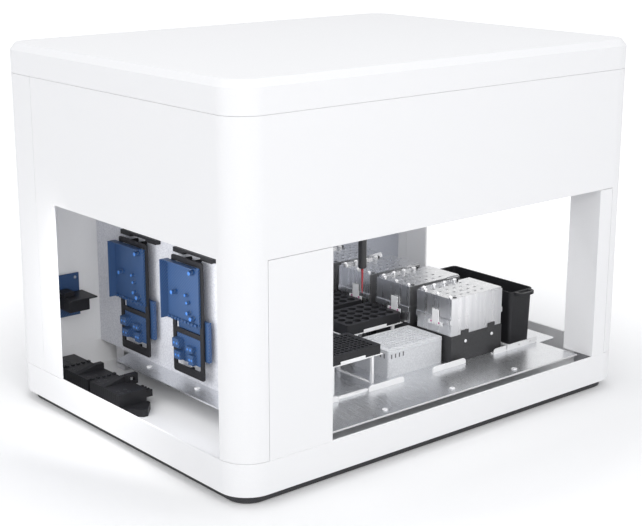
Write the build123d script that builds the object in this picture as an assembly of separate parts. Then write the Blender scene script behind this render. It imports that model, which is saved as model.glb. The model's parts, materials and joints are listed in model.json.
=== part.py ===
from build123d import *
import os

os.makedirs("parts", exist_ok=True)

# Benchtop slide preparation workstation, in millimetres.
# Origin: centre of the footprint, at the face that rests on the bench.
# X runs to the right, Y to the back (the front face is at -Y), Z up.

# ---------------------------------------------------------------- driving sizes

# housing, bottom to top (over is how far a cutting tool runs past the face it cuts)
foot_diameter = 40.0
foot_inset = 75.0
plinth_height = 16.5
plinth_inset = 15.0
plinth_wall = 6.0
plinth_top_thickness = 5.5
plinth_ground_gap = 1.0
shell_wall = 4.0
tray_floor = 4.0
corner_radius = 49.0
under_deck_height = 41.9
deck_thickness = 3.0
rim_above_deck = 2.7
window_height = 298.4
gantry_space = 201.7
lid_height = 49.3
lid_chamfer_height = 11.0
lid_chamfer_width = 9.0
lid_lip_height = 8.0
lid_lip_wall = 3.0
seat_gap = 0.3
seam_gap = 0.8
seam_depth = 1.5
over = 1.0

# housing, left to right
left_post_width = 51.7
bay_width = 169.6
partition_thickness = 2.0
column_a_offset = 111.4
labware_length = 127.76
column_gap_ab = 16.2
column_gap_bc = 3.8
slide_length = 126.2
bin_gap = 24.3
bin_length = 57.0
bin_to_jamb = 4.5
jamb_width = 32.0
jamb_depth = 65.0
right_post_width = 47.5

# housing, front to back
side_post_depth = 50.7
deck_front_gap = 32.6
deck_to_labware = 121.4
row_pitch = 104.0
row_count = 4
labware_depth = 85.48
back_margin = 23.5
service_depth = 69.0
rear_cover_depth = 98.4
rear_post_depth = 55.6

# derived stations on the housing
deck_column_a = bay_width + partition_thickness + column_a_offset
deck_column_b = deck_column_a + labware_length + column_gap_ab
deck_column_c = deck_column_b + labware_length + column_gap_bc
bin_start = deck_column_c + slide_length + bin_gap
jamb_start = bin_start + bin_length + bin_to_jamb
width = jamb_start + jamb_width + right_post_width
labware_front = deck_front_gap + deck_to_labware
back_wall_start = labware_front + (row_count - 1) * row_pitch + labware_depth + back_margin
depth = back_wall_start + partition_thickness + service_depth + shell_wall

left = -width / 2
right = width / 2
front = -depth / 2
back = depth / 2

tray_bottom = plinth_height
tray_inside = tray_bottom + tray_floor
deck_bottom = tray_inside + under_deck_height
deck_top = deck_bottom + deck_thickness
tray_rim = deck_top + rim_above_deck
window_top = tray_rim + window_height
shell_top = window_top + gantry_space
lid_top = shell_top + lid_height

partition_left = left + bay_width
partition_right = partition_left + partition_thickness
opening_left = partition_right
opening_right = left + jamb_start
jamb_right = opening_right + jamb_width
back_wall = front + back_wall_start
back_wall_rear = back_wall + partition_thickness
window_front = front + side_post_depth
cover_seam = back - rear_cover_depth
window_back = cover_seam - rear_post_depth
wall_inside_left = left + shell_wall
wall_inside_right = right - shell_wall
wall_inside_front = front + shell_wall
wall_inside_back = back - shell_wall
row_front = [front + labware_front + row * row_pitch for row in range(row_count)]
column_a = left + deck_column_a
column_b = left + deck_column_b
column_c = left + deck_column_c

# deck plate
deck_clearance = 1.5
partition_flange_width = 30.0
partition_foot_width = 14.0
partition_foot_margin = 8.0
back_wall_over_window = 60.0
deck_front = front + deck_front_gap
deck_ear_width = 42.0
deck_ear_start = 87.0
deck_flange_width = 44.0
deck_flange_start = 60.0
deck_flange_end = 48.0
deck_rear_margin = 1.0
deck_corner = 8.0
deck_chamfer = 21.0
standoff_diameter = 14.0
standoff_inset = 40.0
standoff_front_inset = 110.0
tab_thickness = 2.5
tab_length = 79.5
tab_height = 10.0
tab_setback = 30.0
tab_corner = 6.0
tab_shifts = (-31.8, 113.4, 260.0)
rail_length = 72.0
rail_depth_y = 7.0
rail_height = 4.0
rail_shift = 5.0
rail_behind_tab = 2.0
screw_diameter = 10.0
screw_head = 2.2
screw_pitch = 150.6
screw_edge = 16.0
flange_screw_inset = 18.5
flange_screw_start = 60.0
flange_screw_pitch = 141.6

# frame of the moving gantry
tube_size = 25.0
post_setback = 20.0
post_from_partition = 4.6
post_from_jamb = 2.0
post_height_over_window = 150.0
beam_over_service = 3.0
beam_over_partition = 3.0
rail_width = 13.0
rail_depth = 10.0
rail_below_beam_top = 6.0

# gantry at rest
nozzle_x_from_left = 442.0
nozzle_y_from_front = 238.0
needle_tip_above_deck = 128.0
running_gap = 0.3
shaft_gap = 0.06
truck_length = 70.0
truck_depth = 24.0
truck_floor = 8.0
truck_roof = 6.0
belt_arm_width = 24.0
belt_arm_root = 14.0
belt_arm_cap = 4.0
belt_arm_wall = 3.0
bridge_width = 44.0
bridge_height = 48.0
bridge_wall = 3.0
bridge_front_gap = 4.0
bridge_rear_gap = 1.0
bridge_ear = 6.0
y_rod_rise = 9.0
y_rail_drop = 14.0
carriage_length = 60.0
carriage_thickness = 18.0
carriage_height = 42.0
carriage_top_drop = 2.0
carriage_over_rail = 3.0
mast_thickness = 6.0
mast_height = 172.0
mast_below_bridge = 82.0
mast_flange = 6.0
mast_flange_reach = 46.0
mast_low_flange_start = 10.0
head_width = 48.0
head_depth = 42.0
head_height = 60.0
head_over_rail = 2.0
head_chamfer = 4.0
head_stop_gap = 4.0
head_travel_down = 62.0
nozzle_offset = 29.0
nozzle_diameter = 14.5
nozzle_bevel_height = 2.0
nozzle_bevel_width = 1.6
needle_length = 44.0
needle_top_diameter = 4.6
needle_tip_diameter = 1.8
screw_rod_diameter = 8.0
z_rod_diameter = 6.0
z_rod_offset_x = 12.0
z_rod_offset_y = 17.0
motor_size = 35.0
small_motor_size = 28.0
motor_length = 40.0
small_motor_length = 32.0
motor_chamfer = 3.0
small_motor_chamfer = 2.5
motor_from_post = 3.0
motor_plate_rim = 3.0
motor_plate_thickness = 4.0
motor_shaft_diameter = 5.0
motor_shaft_length = 11.0
end_gap = 0.5
idler_axle_diameter = 6.0
pulley_flange = 1.0
pulley_flange_reach = 3.0
pulley_hub_diameter = 10.0
pulley_radius = 10.0
pulley_height = 9.0
belt_thickness = 1.5
belt_width = 6.0
belt_rise = 8.0

# labware
stand_height = 48.0
stand_sheet = 1.5
stand_margin = 2.0
stand_leg = 5.0
stand_leg_inset = 20.0
stand_lip_height = 5.0
stand_lip_length = 54.0
plate_height = 15.5
plate_corner = 4.0
well_pitch = 9.0
well_diameter = 6.6
well_depth = 12.0
well_columns = 12
well_rows = 8
rack_height = 18.5
tube_pitch_x = 19.5
tube_pitch_y = 19.0
tube_hole_diameter = 15.0
tube_hole_depth = 15.5
tube_columns = 6
tube_rows = 4
tip_box_height = 44.0
tip_box_wall = 1.8
tip_grid_thickness = 3.0
tip_diameter = 5.4
tip_length = 36.0
tip_hole_gap = 0.15
tip_collar_height = 1.2
tip_collar_reach = 0.8
tip_end_diameter = 1.6
tip_wall = 0.7
tip_bore_depth = 5.0

# slide modules
slide_depth = 85.48
slide_front_offset = 16.0
module_base_height = 48.4
module_base_tab_height = 7.6
module_base_tab_width = 18.0
module_base_sheet = 1.5
module_body_height = 30.7
module_body_inset = 1.0
module_flange_height = 9.5
module_flange_reach = 2.2
module_cover_height = 37.0
module_cover_step = 2.5
module_cover_rear_step = 5.0
module_cover_step_start = 93.4
cover_hole_diameter = 4.6
cover_hole_depth = 8.0
cover_hole_columns = 5
cover_hole_rows = 4
cover_hole_pitch_x = 17.0
cover_hole_pitch_y = 17.5
cover_hole_inset = 20.5
cover_hole_shift = 3.0
cover_pin_diameter = 6.0
cover_pin_height = 3.5
cover_pin_inset = 4.0
cover_pin_start = 7.0
cover_pin_pitch = 30.7
cover_comb_start = 3.0
cover_comb_end = 91.0
cover_comb_depth = 5.0
cover_comb_from_rear = 3.0
cover_comb_height = 4.0
cover_latch_height = 5.5
cover_latch_start = 8.0
cover_latch_pitch = 25.0
cover_latch_from_rear = 9.5
base_screw_diameter = 6.0
base_screw_head = 2.0
base_screw_spacing = 66.0
base_screw_centre = 66.9
base_screw_drop = 12.5
clip_width = 16.0
clip_rise = 13.0
clip_thickness = 1.2
clip_foot_width = 34.0
clip_foot_height = 7.0
clip_from_front = 35.9
clip_overlap = 1.0
clip_teeth = 4
clip_tooth_gap = 3.4

# waste bin
bin_depth = 197.0
bin_height = 97.6
bin_wall = 2.0
bin_taper = 3.0
bin_corner = 8.0
bin_front_offset = 16.0
bin_rim_height = 5.0
bin_lip_reach = 17.0
bin_lip_width = 42.0
bin_lip_corner = 14.0
bin_lip_bar = 6.0
bin_lip_hole_corner = 4.0
bracket_sheet = 2.0
bracket_height = 10.0
bracket_hole_diameter = 3.6
bracket_hole_start = 9.7
bracket_hole_pitch = 30.0
bracket_hole_count = 2
bracket_hole_rise = 5.0
bracket_from_jamb = 4.5
bracket_reach_left = 20.0
bracket_tab_length = 32.0
bracket_tab_gap = 3.0
bracket_foot = 8.0

# boards in the left bay
board_frame_width = 86.0
board_frame_height = 200.0
board_frame_thickness = 3.0
board_frame_stand = 16.6
board_frame_pitch = 159.0
board_frame_start = 296.4
board_frame_rise = 17.6
board_frame_border = 9.0
board_crossbar_height = 8.0
board_crossbar_rise = 69.0
board_sheet = 1.6
board_frame_corner = 4.0
board_stud_diameter = 6.0
board_stud_inset = 30.0
driver_board_drop = 9.3
driver_board_past_frame = 11.7
driver_board_start = 5.7
driver_board_top_start = 8.0
driver_board_top_reach = 12.0
# raised pieces on a board: from its near edge, from its lower edge, wide, tall, deep
driver_bosses = ((12.0, 86.0, 9.0, 9.0, 9.0), (30.0, 46.0, 7.0, 7.0, 6.0), (26.0, 34.0, 7.0, 7.0, 6.0),
                 (62.0, 44.0, 9.0, 9.0, 10.0), (24.0, 16.0, 8.0, 8.0, 7.0),
                 (12.0, 8.0, 10.0, 10.0, 8.0))
io_blocks = ((46.0, 24.0, 19.0, 15.0, 12.0), (44.0, 4.0, 18.0, 14.0, 11.0),
             (14.0, 22.0, 18.0, 10.0, 8.0), (12.0, 1.0, 14.0, 17.0, 8.0))
io_board_gap = 0.5
io_board_rise = 22.0
io_board_top_gap = 1.0
io_backing_gap = 2.0
io_backing_thickness = 6.0
io_backing_rise = 33.0
io_backing_height = 68.0
io_backing_ahead = 8.0
io_stud_start = 20.0
io_stud_rise = 16.0
io_stud_size = 10.0
driver_board_height = 100.0
driver_board_flange = 16.0
hanger_length = 108.0
hanger_height = 8.0
hanger_depth = 11.0
hanger_gap = 1.0
hanger_middle = 39.6
hanger_notch_length = 46.4
hanger_notch_height = 4.0
hanger_notch_wall = 3.0
rear_board_width = 66.0
rear_board_height = 78.0
rear_board_rise = 55.4
rear_board_from_left = 60.0
rear_board_stand = 4.0
rear_board_hole = 5.0
rear_board_hole_inset = 8.0
rear_stud_diameter = 6.0
rear_stud_inset = 8.0
rear_stud_right_inset = 18.0
rear_module_start = 18.0
rear_module_rise = 42.0
rear_module_plate = 53.0
rear_module_sheet = 2.5
rear_module_inset = 2.0
rear_module_width = 40.0
rear_module_depth = 44.0
rear_module_height = 22.0
rear_cap_width = 20.0
rear_cap_depth = 26.0
rear_cap_height = 8.5
train_from_left = 49.6
train_width = 53.4
train_front = 364.7
train_length = 265.0
train_height = 35.0
train_nose_length = 31.7
train_nose_height = 12.8
train_nose_left = 3.4
train_nose_tip = 26.4
train_nose_tip_width = 8.0
train_nose_right = 24.3
train_nose_past_body = 2.0
train_ridge_start = 80.0
train_ridge_thickness = 11.0
train_ridge_height = 10.0
train_ridge_flat = 14.0
train_module_start = 124.0
train_module_pitch = 84.0
train_module_count = 2
train_notch_width = 8.0
train_notch_depth = 8.0
train_tooth_count = 5
train_tooth_width = 5.0
train_tooth_depth = 6.0
train_tooth_height = 2.6
train_plug_start = 38.0
train_plug_length = 34.0
train_plug_reach = 16.0
train_plug_height = 9.0
train_plug_drop = 9.5
train_plug_tooth_count = 4
train_plug_tooth_width = 4.0
train_plug_tooth_height = 2.4
train_loop_start = 73.5
train_loop_width = 22.0
train_loop_depth = 9.0
train_loop_height = 18.0
train_loop_bar = 5.0
train_loop_roof = 5.0
train_loop_rise = 4.0

# openings in the rear cover
vent_slot_length = 60.0
vent_slot_width = 5.0
vent_slot_pitch = 13.0
vent_slot_count = 9
vent_slot_drop = 45.0
vent_ring_first = 21.0
vent_ring_step = 8.0
vent_ring_count = 2
vent_ring_width = 5.0
vent_bridge_angle = 14.0

# services at the rear
fan_size = 80.0
fan_depth = 25.0
fan_blades = 7
fan_hub_diameter = 34.0
fan_blade_gap = 1.5
fan_corner = 6.0
fan_rim = 2.0
fan_strut_depth = 4.0
fan_strut_width = 5.0
fan_face_gap = 1.5
fan_rear_gap = 0.8
fan_hub_wall = 3.0
fan_blade_chord = 16.0
fan_blade_thickness = 1.6
fan_blade_angle = 35.0
fan_blade_root = 1.0
fan_pin_diameter = 4.0
fan_pitch = 100.0
fan_rise = 150.0
fan_from_left = 330.0
supply_width = 200.0
supply_depth = 58.0
supply_height = 110.0
supply_from_left = 330.0
supply_gap = 4.0
supply_slot_count = 10
supply_slot_width = 3.0
supply_slot_depth = 4.0
supply_slot_margin = 20.0
supply_slot_end = 10.0
inlet_width = 58.0
inlet_height = 34.0
inlet_depth = 24.0
inlet_from_right = 120.0
inlet_rise = 60.0
inlet_flange = 2.0
inlet_rim = 4.0
socket_width = 27.0
socket_height = 18.0
socket_inset = 5.0
socket_rise = 8.0
socket_depth = 17.0
socket_pin_places = ((11.0, 14.0), (18.5, 20.0), (26.0, 14.0))
socket_pin_width = 2.0
socket_pin_height = 4.0
socket_pin_length = 13.0
rocker_width = 12.0
rocker_height = 20.0
rocker_inset = 5.0
rocker_pivot_depth = 6.8
rocker_crest = 6.5
rocker_edge = 5.0
rocker_edge_gap = 1.4
rocker_heel = 4.0
rocker_heel_depth = 5.0
rocker_pin_diameter = 3.0
rocker_pin_reach = 1.5
rocker_pocket_depth = 16.0

# ---------------------------------------------------------------- helpers


def block(x0, x1, y0, y1, z0, z1):
    """A box between two corners."""
    return Pos((x0 + x1) / 2, (y0 + y1) / 2, (z0 + z1) / 2) * Box(x1 - x0, y1 - y0, z1 - z0)


def rod(x, y, z0, z1, diameter):
    """An upright cylinder from z0 to z1."""
    return Pos(x, y, (z0 + z1) / 2) * Cylinder(diameter / 2, z1 - z0)


def rod_y(x, z, y0, y1, diameter):
    """A cylinder along Y from y0 to y1."""
    return Pos(x, (y0 + y1) / 2, z) * Rot(90, 0, 0) * Cylinder(diameter / 2, y1 - y0)


def rod_x(y, z, x0, x1, diameter):
    """A cylinder along X from x0 to x1."""
    return Pos((x0 + x1) / 2, y, z) * Rot(0, 90, 0) * Cylinder(diameter / 2, x1 - x0)


def rounded_slab(x0, x1, y0, y1, z0, z1, radius):
    """A slab with its four upright corners rounded."""
    outline = Pos((x0 + x1) / 2, (y0 + y1) / 2, z0) * RectangleRounded(x1 - x0, y1 - y0, radius)
    return extrude(outline, z1 - z0, dir=(0, 0, 1))


def join(pieces):
    """One shape from a list of touching or overlapping shapes."""
    whole = pieces[0]
    for piece in pieces[1:]:
        whole = whole + piece
    return whole


def cut(body, tools):
    """The body less every tool in the list."""
    for tool in tools:
        body = body - tool
    return body


def group(pieces):
    """Separate solids kept together in one file."""
    return Compound(children=[solid for piece in pieces for solid in piece.solids()])


def write(name, shape):
    export_step(shape, "parts/" + name + ".step")


def grid(columns, rows, pitch_x, pitch_y, centre_x, centre_y):
    """Centres of an even grid of places about a centre."""
    places = []
    for row in range(rows):
        for column in range(columns):
            x = centre_x + (column - (columns - 1) / 2) * pitch_x
            y = centre_y + (row - (rows - 1) / 2) * pitch_y
            places.append((x, y))
    return places


# ---------------------------------------------------------------- housing


def make_plinth():
    x0, x1 = left + plinth_inset, right - plinth_inset
    y0, y1 = front + plinth_inset, back - plinth_inset
    radius = corner_radius - plinth_inset
    outer = rounded_slab(x0, x1, y0, y1, plinth_ground_gap, plinth_height, radius)
    inner = rounded_slab(x0 + plinth_wall, x1 - plinth_wall, y0 + plinth_wall, y1 - plinth_wall,
                         plinth_ground_gap, plinth_height - plinth_top_thickness,
                         radius - plinth_wall)
    return outer - inner


def make_feet():
    foot_top = plinth_height - plinth_top_thickness
    feet = []
    for x in (left + foot_inset, right - foot_inset):
        for y in (front + foot_inset, back - foot_inset):
            feet.append(rod(x, y, 0, foot_top, foot_diameter))
    return group(feet)


def make_base_tray():
    outer = rounded_slab(left, right, front, back, tray_bottom, tray_rim, corner_radius)
    inner = rounded_slab(wall_inside_left, wall_inside_right, wall_inside_front, wall_inside_back,
                         tray_inside, tray_rim, corner_radius - shell_wall)
    return outer - inner


def shell_ring(z0, z1):
    """The upright wall of the housing between two heights."""
    outer = rounded_slab(left, right, front, back, z0, z1, corner_radius)
    inner = rounded_slab(wall_inside_left, wall_inside_right, wall_inside_front, wall_inside_back,
                         z0, z1, corner_radius - shell_wall)
    return outer - inner


def seam_groove(z):
    """A shallow groove around the outside, just above a height."""
    outer = rounded_slab(left - over, right + over, front - over, back + over, z, z + seam_gap,
                         corner_radius + over)
    inner = rounded_slab(left + seam_depth, right - seam_depth, front + seam_depth,
                         back - seam_depth, z, z + seam_gap, corner_radius - seam_depth)
    return outer - inner


def make_body_shell():
    ring = shell_ring(tray_rim, shell_top)
    past = corner_radius
    front_cut = block(left + left_post_width, right - right_post_width,
                      front - past, front + past, tray_rim, window_top)
    window_cut = block(left - past, right + past, window_front, window_back, tray_rim, window_top)
    rear_cut = block(left - past, right + past, cover_seam, back + past, tray_rim, shell_top)
    return cut(ring, [front_cut, window_cut, rear_cut, seam_groove(tray_rim)])


def make_rear_cover():
    ring = shell_ring(tray_rim, shell_top)
    past = corner_radius
    cover = ring - block(left - past, right + past, front - past, cover_seam + seam_gap / 2,
                         tray_rim, shell_top)
    cuts = [seam_groove(tray_rim)]
    y0, y1 = wall_inside_back - over, back + over
    slot_x = wall_inside_left + corner_radius
    for index in range(vent_slot_count):
        z = shell_top - vent_slot_drop - index * vent_slot_pitch
        for x in (slot_x, right - corner_radius - vent_slot_length):
            cuts.append(block(x, x + vent_slot_length, y0, y1, z, z + vent_slot_width))
    for centre_x, centre_z in fan_centres():
        for ring_number in range(vent_ring_count):
            ring_radius = vent_ring_first + ring_number * vent_ring_step
            for quarter in range(4):
                cuts.append(arc_slot(centre_x, centre_z, ring_radius, quarter))
    x0, z0 = inlet_left(), inlet_bottom()
    cuts.append(block(x0, x0 + inlet_width, y0, y1, z0, z0 + inlet_height))
    rim = inlet_rim + seat_gap
    cuts.append(block(x0 - rim, x0 + inlet_width + rim, back - inlet_flange, y1,
                      z0 - rim, z0 + inlet_height + rim))
    return cut(cover, cuts)


def fan_centres():
    """Where the two fans sit on the rear wall."""
    z = tray_rim + fan_rise + fan_size / 2
    first = left + fan_from_left
    return [(first, z), (first + fan_pitch, z)]


def arc_slot(centre_x, centre_z, radius, quarter):
    """A quarter of a ring-shaped air slot through the rear wall."""
    start = quarter * 90 + vent_bridge_angle
    sweep_angle = 90 - vent_bridge_angle
    outline = make_face(sector_outline(radius, vent_ring_width, start, sweep_angle))
    solid = extrude(outline, shell_wall + 2 * over, dir=(0, 0, 1))
    return Pos(centre_x, back + over, centre_z) * Rot(90, 0, 0) * solid


def sector_outline(radius, ring_width, start, sweep_angle):
    """Closed outline of a sector of a ring."""
    inner_radius = radius - ring_width / 2
    outer_radius = radius + ring_width / 2
    inner = CenterArc((0, 0, 0), inner_radius, start, sweep_angle)
    outer = CenterArc((0, 0, 0), outer_radius, start, sweep_angle)
    return [inner, outer, Line(inner @ 0, outer @ 0), Line(inner @ 1, outer @ 1)]


def inlet_left():
    return right - inlet_from_right


def inlet_bottom():
    return tray_rim + inlet_rise


def make_lid():
    chamfer_base = lid_top - lid_chamfer_height
    ceiling = chamfer_base - shell_wall
    body = rounded_slab(left, right, front, back, shell_top, chamfer_base, corner_radius)
    base_face = Pos(0, 0, chamfer_base) * RectangleRounded(width, depth, corner_radius)
    top_face = Pos(0, 0, lid_top) * RectangleRounded(width - 2 * lid_chamfer_width,
                                                     depth - 2 * lid_chamfer_width,
                                                     corner_radius - lid_chamfer_width)
    crown = loft([base_face, top_face], ruled=True)
    hollow = rounded_slab(wall_inside_left, wall_inside_right, wall_inside_front, wall_inside_back,
                          shell_top, ceiling, corner_radius - shell_wall)
    inset = shell_wall + lid_chamfer_width
    crown_hollow = rounded_slab(left + inset, right - inset, front + inset, back - inset,
                                ceiling, lid_top - shell_wall, corner_radius - inset)
    lip_out = shell_wall + seat_gap
    lip = rounded_slab(left + lip_out, right - lip_out, front + lip_out, back - lip_out,
                       shell_top - lid_lip_height, ceiling, corner_radius - lip_out)
    lip_in = lip_out + lid_lip_wall
    bore = rounded_slab(left + lip_in, right - lip_in, front + lip_in, back - lip_in,
                        shell_top - lid_lip_height, ceiling, corner_radius - lip_in)
    web = rounded_slab(wall_inside_left, wall_inside_right, wall_inside_front, wall_inside_back,
                       shell_top, shell_top + lid_lip_wall, corner_radius - shell_wall)
    shell = body + crown - hollow - crown_hollow - seam_groove(shell_top)
    return shell + (lip + web - bore)


def make_fascia_left():
    """Front panel of the left bay, on the partition's flange."""
    return block(left + left_post_width + seam_gap, opening_left - seat_gap, front,
                 front + shell_wall, tray_rim, window_top - seam_gap)


def make_fascia_right():
    face = block(opening_right, jamb_right - seam_gap, front, front + shell_wall,
                 tray_rim, window_top - seam_gap)
    jamb = block(opening_right, opening_right + shell_wall, front, front + jamb_depth,
                 tray_rim, window_top - seam_gap)
    return face + jamb


# ---------------------------------------------------------------- inner walls and deck


def beam_bottom():
    return window_top + post_height_over_window


def beam_top():
    return beam_bottom() + tube_size


def make_partition():
    wall = block(partition_left, partition_right, wall_inside_front, wall_inside_back,
                 deck_top, beam_bottom() - beam_over_partition)
    flange = block(partition_left - partition_flange_width, partition_left, wall_inside_front,
                   wall_inside_front + partition_thickness, tray_rim, window_top)
    foot = block(partition_right, partition_right + partition_foot_width,
                 deck_front + partition_foot_margin, back_wall - partition_foot_margin,
                 deck_top, deck_top + partition_thickness)
    return wall + flange + foot


def make_back_wall():
    return block(partition_right, wall_inside_right, back_wall, back_wall_rear, deck_top,
                 window_top + back_wall_over_window)


def make_deck_plate():
    y_ear = deck_front + deck_ear_start
    x_ear = opening_right + deck_ear_width
    x_edge = opening_right - deck_clearance
    x_flange = partition_left - deck_flange_width
    y_rear = back_wall_rear + deck_rear_margin
    y_flange_front = deck_front + deck_flange_start
    y_flange_rear = back_wall - deck_flange_end
    x_left = partition_left
    points = [
        (x_left, deck_front), (x_edge, deck_front), (x_edge, y_ear), (x_ear, y_ear),
        (x_ear, y_rear), (x_left, y_rear), (x_left, y_flange_rear + deck_chamfer),
        (x_flange, y_flange_rear), (x_flange, y_flange_front), (x_left, y_flange_front),
    ]
    outline = make_face(Polyline(points, close=True))
    plate = Pos(0, 0, deck_bottom) * extrude(outline, deck_thickness, dir=(0, 0, 1))
    corners = plate.edges().filter_by(Axis.Z)
    sharp = [edge for edge in corners
             if abs(edge.center().X - x_ear) < 1 or abs(edge.center().X - x_flange) < 1]
    return fillet(sharp, deck_corner)


def make_deck_standoffs():
    x_first = partition_right + standoff_inset
    x_last = opening_right - standoff_inset
    y_first = deck_front + standoff_front_inset
    y_last = back_wall - standoff_inset
    posts = []
    for x in (x_first, (x_first + x_last) / 2, x_last):
        for y in (y_first, y_last):
            posts.append(rod(x, y, tray_inside, deck_bottom, standoff_diameter))
    return group(posts)


def tab_strip(centre):
    """A low upright strip with rounded upper corners, standing on the deck."""
    y0 = row_front[0] - tab_setback
    strip = block(centre - tab_length / 2, centre + tab_length / 2, y0, y0 + tab_thickness,
                  deck_top, deck_top + tab_height)
    upper = strip.edges().filter_by(Axis.Y).group_by(Axis.Z)[-1]
    return fillet(upper, tab_corner)


def deck_rail():
    """A low rail on the deck, in front of the stand under the well plate."""
    x0 = column_a + rail_shift
    y0 = row_front[0] - tab_setback + tab_thickness + rail_behind_tab
    return block(x0, x0 + rail_length, y0, y0 + rail_depth_y, deck_top, deck_top + rail_height)


def make_deck_tabs():
    return group([tab_strip(column_a + shift) for shift in tab_shifts] + [deck_rail()])


def screw(x, y, z):
    """A low round screw head standing on a face at z."""
    return rod(x, y, z, z + screw_head, screw_diameter)


def make_deck_screws():
    """Screw heads along the deck's front edge, and two on its flange in the left bay."""
    heads = []
    x = partition_right + screw_pitch
    while x < opening_right - screw_edge:
        heads.append(screw(x, deck_front + screw_edge, deck_top))
        x = x + screw_pitch
    for index in range(2):
        y = row_front[1] + flange_screw_start + index * flange_screw_pitch
        heads.append(screw(partition_left - flange_screw_inset, y, deck_top))
    return group(heads)


# ---------------------------------------------------------------- labware


def stand_box(x, y):
    """Footprint of a stand under labware whose corner is at x, y."""
    return (x - stand_margin, x + labware_length + stand_margin,
            y - stand_margin, y + labware_depth + stand_margin)


def make_stand(x, y):
    x0, x1, y0, y1 = stand_box(x, y)
    top = deck_top + stand_height
    pieces = [block(x0, x1, y0, y1, top - stand_sheet, top)]
    for leg_x in (x0 + stand_leg_inset, x1 - stand_leg_inset - stand_leg):
        for leg_y in (y0, y1 - stand_leg):
            pieces.append(block(leg_x, leg_x + stand_leg, leg_y, leg_y + stand_leg,
                                deck_top, top - stand_sheet))
        pieces.append(block(leg_x, leg_x + stand_leg, y0 + stand_leg, y1 - stand_leg,
                            deck_top, deck_top + stand_sheet))
    middle = (x0 + x1) / 2
    lip = block(middle - stand_lip_length / 2, middle + stand_lip_length / 2,
                y0, y0 + stand_sheet, top, top + stand_lip_height)
    rear_lip = block(middle - stand_lip_length / 2, middle + stand_lip_length / 2,
                     y1 - stand_sheet, y1, top, top + stand_lip_height)
    pieces.append(lip)
    pieces.append(rear_lip)
    return join(pieces)


def make_well_plate(x, y):
    bottom = deck_top + stand_height
    top = bottom + plate_height
    plate = rounded_slab(x, x + labware_length, y, y + labware_depth, bottom, top, plate_corner)
    centre_x = x + labware_length / 2
    centre_y = y + labware_depth / 2
    wells = []
    for px, py in grid(well_columns, well_rows, well_pitch, well_pitch, centre_x, centre_y):
        wells.append(rod(px, py, top - well_depth, top + over, well_diameter))
    return plate - group(wells)


def make_tube_rack(x, y):
    bottom = deck_top + stand_height
    top = bottom + rack_height
    rack = rounded_slab(x, x + labware_length, y, y + labware_depth, bottom, top, plate_corner)
    centre_x = x + labware_length / 2
    centre_y = y + labware_depth / 2
    holes = []
    for px, py in grid(tube_columns, tube_rows, tube_pitch_x, tube_pitch_y, centre_x, centre_y):
        holes.append(rod(px, py, top - tube_hole_depth, top + over, tube_hole_diameter))
    return rack - group(holes)


def make_tip_box(x, y):
    top = deck_top + tip_box_height
    outer = rounded_slab(x, x + labware_length, y, y + labware_depth, deck_top, top, plate_corner)
    wall = tip_box_wall
    inner = rounded_slab(x + wall, x + labware_length - wall, y + wall, y + labware_depth - wall,
                         deck_top + wall, top, plate_corner - wall)
    return outer - inner


def make_tip_grid(x, y):
    bottom = deck_top + tip_box_height
    top = bottom + tip_grid_thickness
    plate = rounded_slab(x, x + labware_length, y, y + labware_depth, bottom, top, plate_corner)
    centre_x = x + labware_length / 2
    centre_y = y + labware_depth / 2
    holes = []
    for px, py in grid(well_columns, well_rows, well_pitch, well_pitch, centre_x, centre_y):
        holes.append(rod(px, py, bottom - over, top + over, tip_diameter + 2 * tip_hole_gap))
    return plate - group(holes)


def make_tips(x, y):
    """Tapered tips that hang by their collars on the grid."""
    grid_top = deck_top + tip_box_height + tip_grid_thickness
    tip_top = grid_top + tip_collar_height
    centre_x = x + labware_length / 2
    centre_y = y + labware_depth / 2
    collar = rod(0, 0, grid_top, tip_top, tip_diameter + 2 * tip_collar_reach)
    cone = Pos(0, 0, grid_top - tip_length / 2) * Cone(tip_end_diameter / 2, tip_diameter / 2,
                                                       tip_length)
    bore = rod(0, 0, tip_top - tip_bore_depth, tip_top + over, tip_diameter - 2 * tip_wall)
    tip = collar + cone - bore
    places = grid(well_columns, well_rows, well_pitch, well_pitch, centre_x, centre_y)
    return group([Pos(px, py, 0) * tip for px, py in places])


# ---------------------------------------------------------------- slide modules


def module_front(row):
    return row_front[row] - slide_front_offset


def make_module_base(row):
    """Black base with a front sheet whose two tabs rise in front of the silver body."""
    x0, x1 = column_c, column_c + slide_length
    y0 = module_front(row)
    y1 = y0 + slide_depth
    top = deck_top + module_base_height
    sheet = module_base_sheet
    pieces = [block(x0, x1, y0, y1, deck_top, top), block(x0, x1, y0 - sheet, y0, deck_top, top)]
    for x in module_screw_places():
        half = module_base_tab_width / 2
        pieces.append(block(x - half, x + half, y0 - sheet, y0, top, top + module_base_tab_height))
    return join(pieces)


def make_module_body(row):
    """Silver lower block with a thin flange around it under the cover."""
    x0, x1 = column_c, column_c + slide_length
    y0 = module_front(row)
    y1 = y0 + slide_depth
    bottom = deck_top + module_base_height
    top = bottom + module_body_height
    inset = module_body_inset
    reach = module_flange_reach
    lower = block(x0 + inset, x1 - inset, y0, y1 - inset, bottom, top - module_flange_height)
    flange = block(x0 - reach, x1 + reach, y0, y1, top - module_flange_height, top)
    return lower + flange


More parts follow.
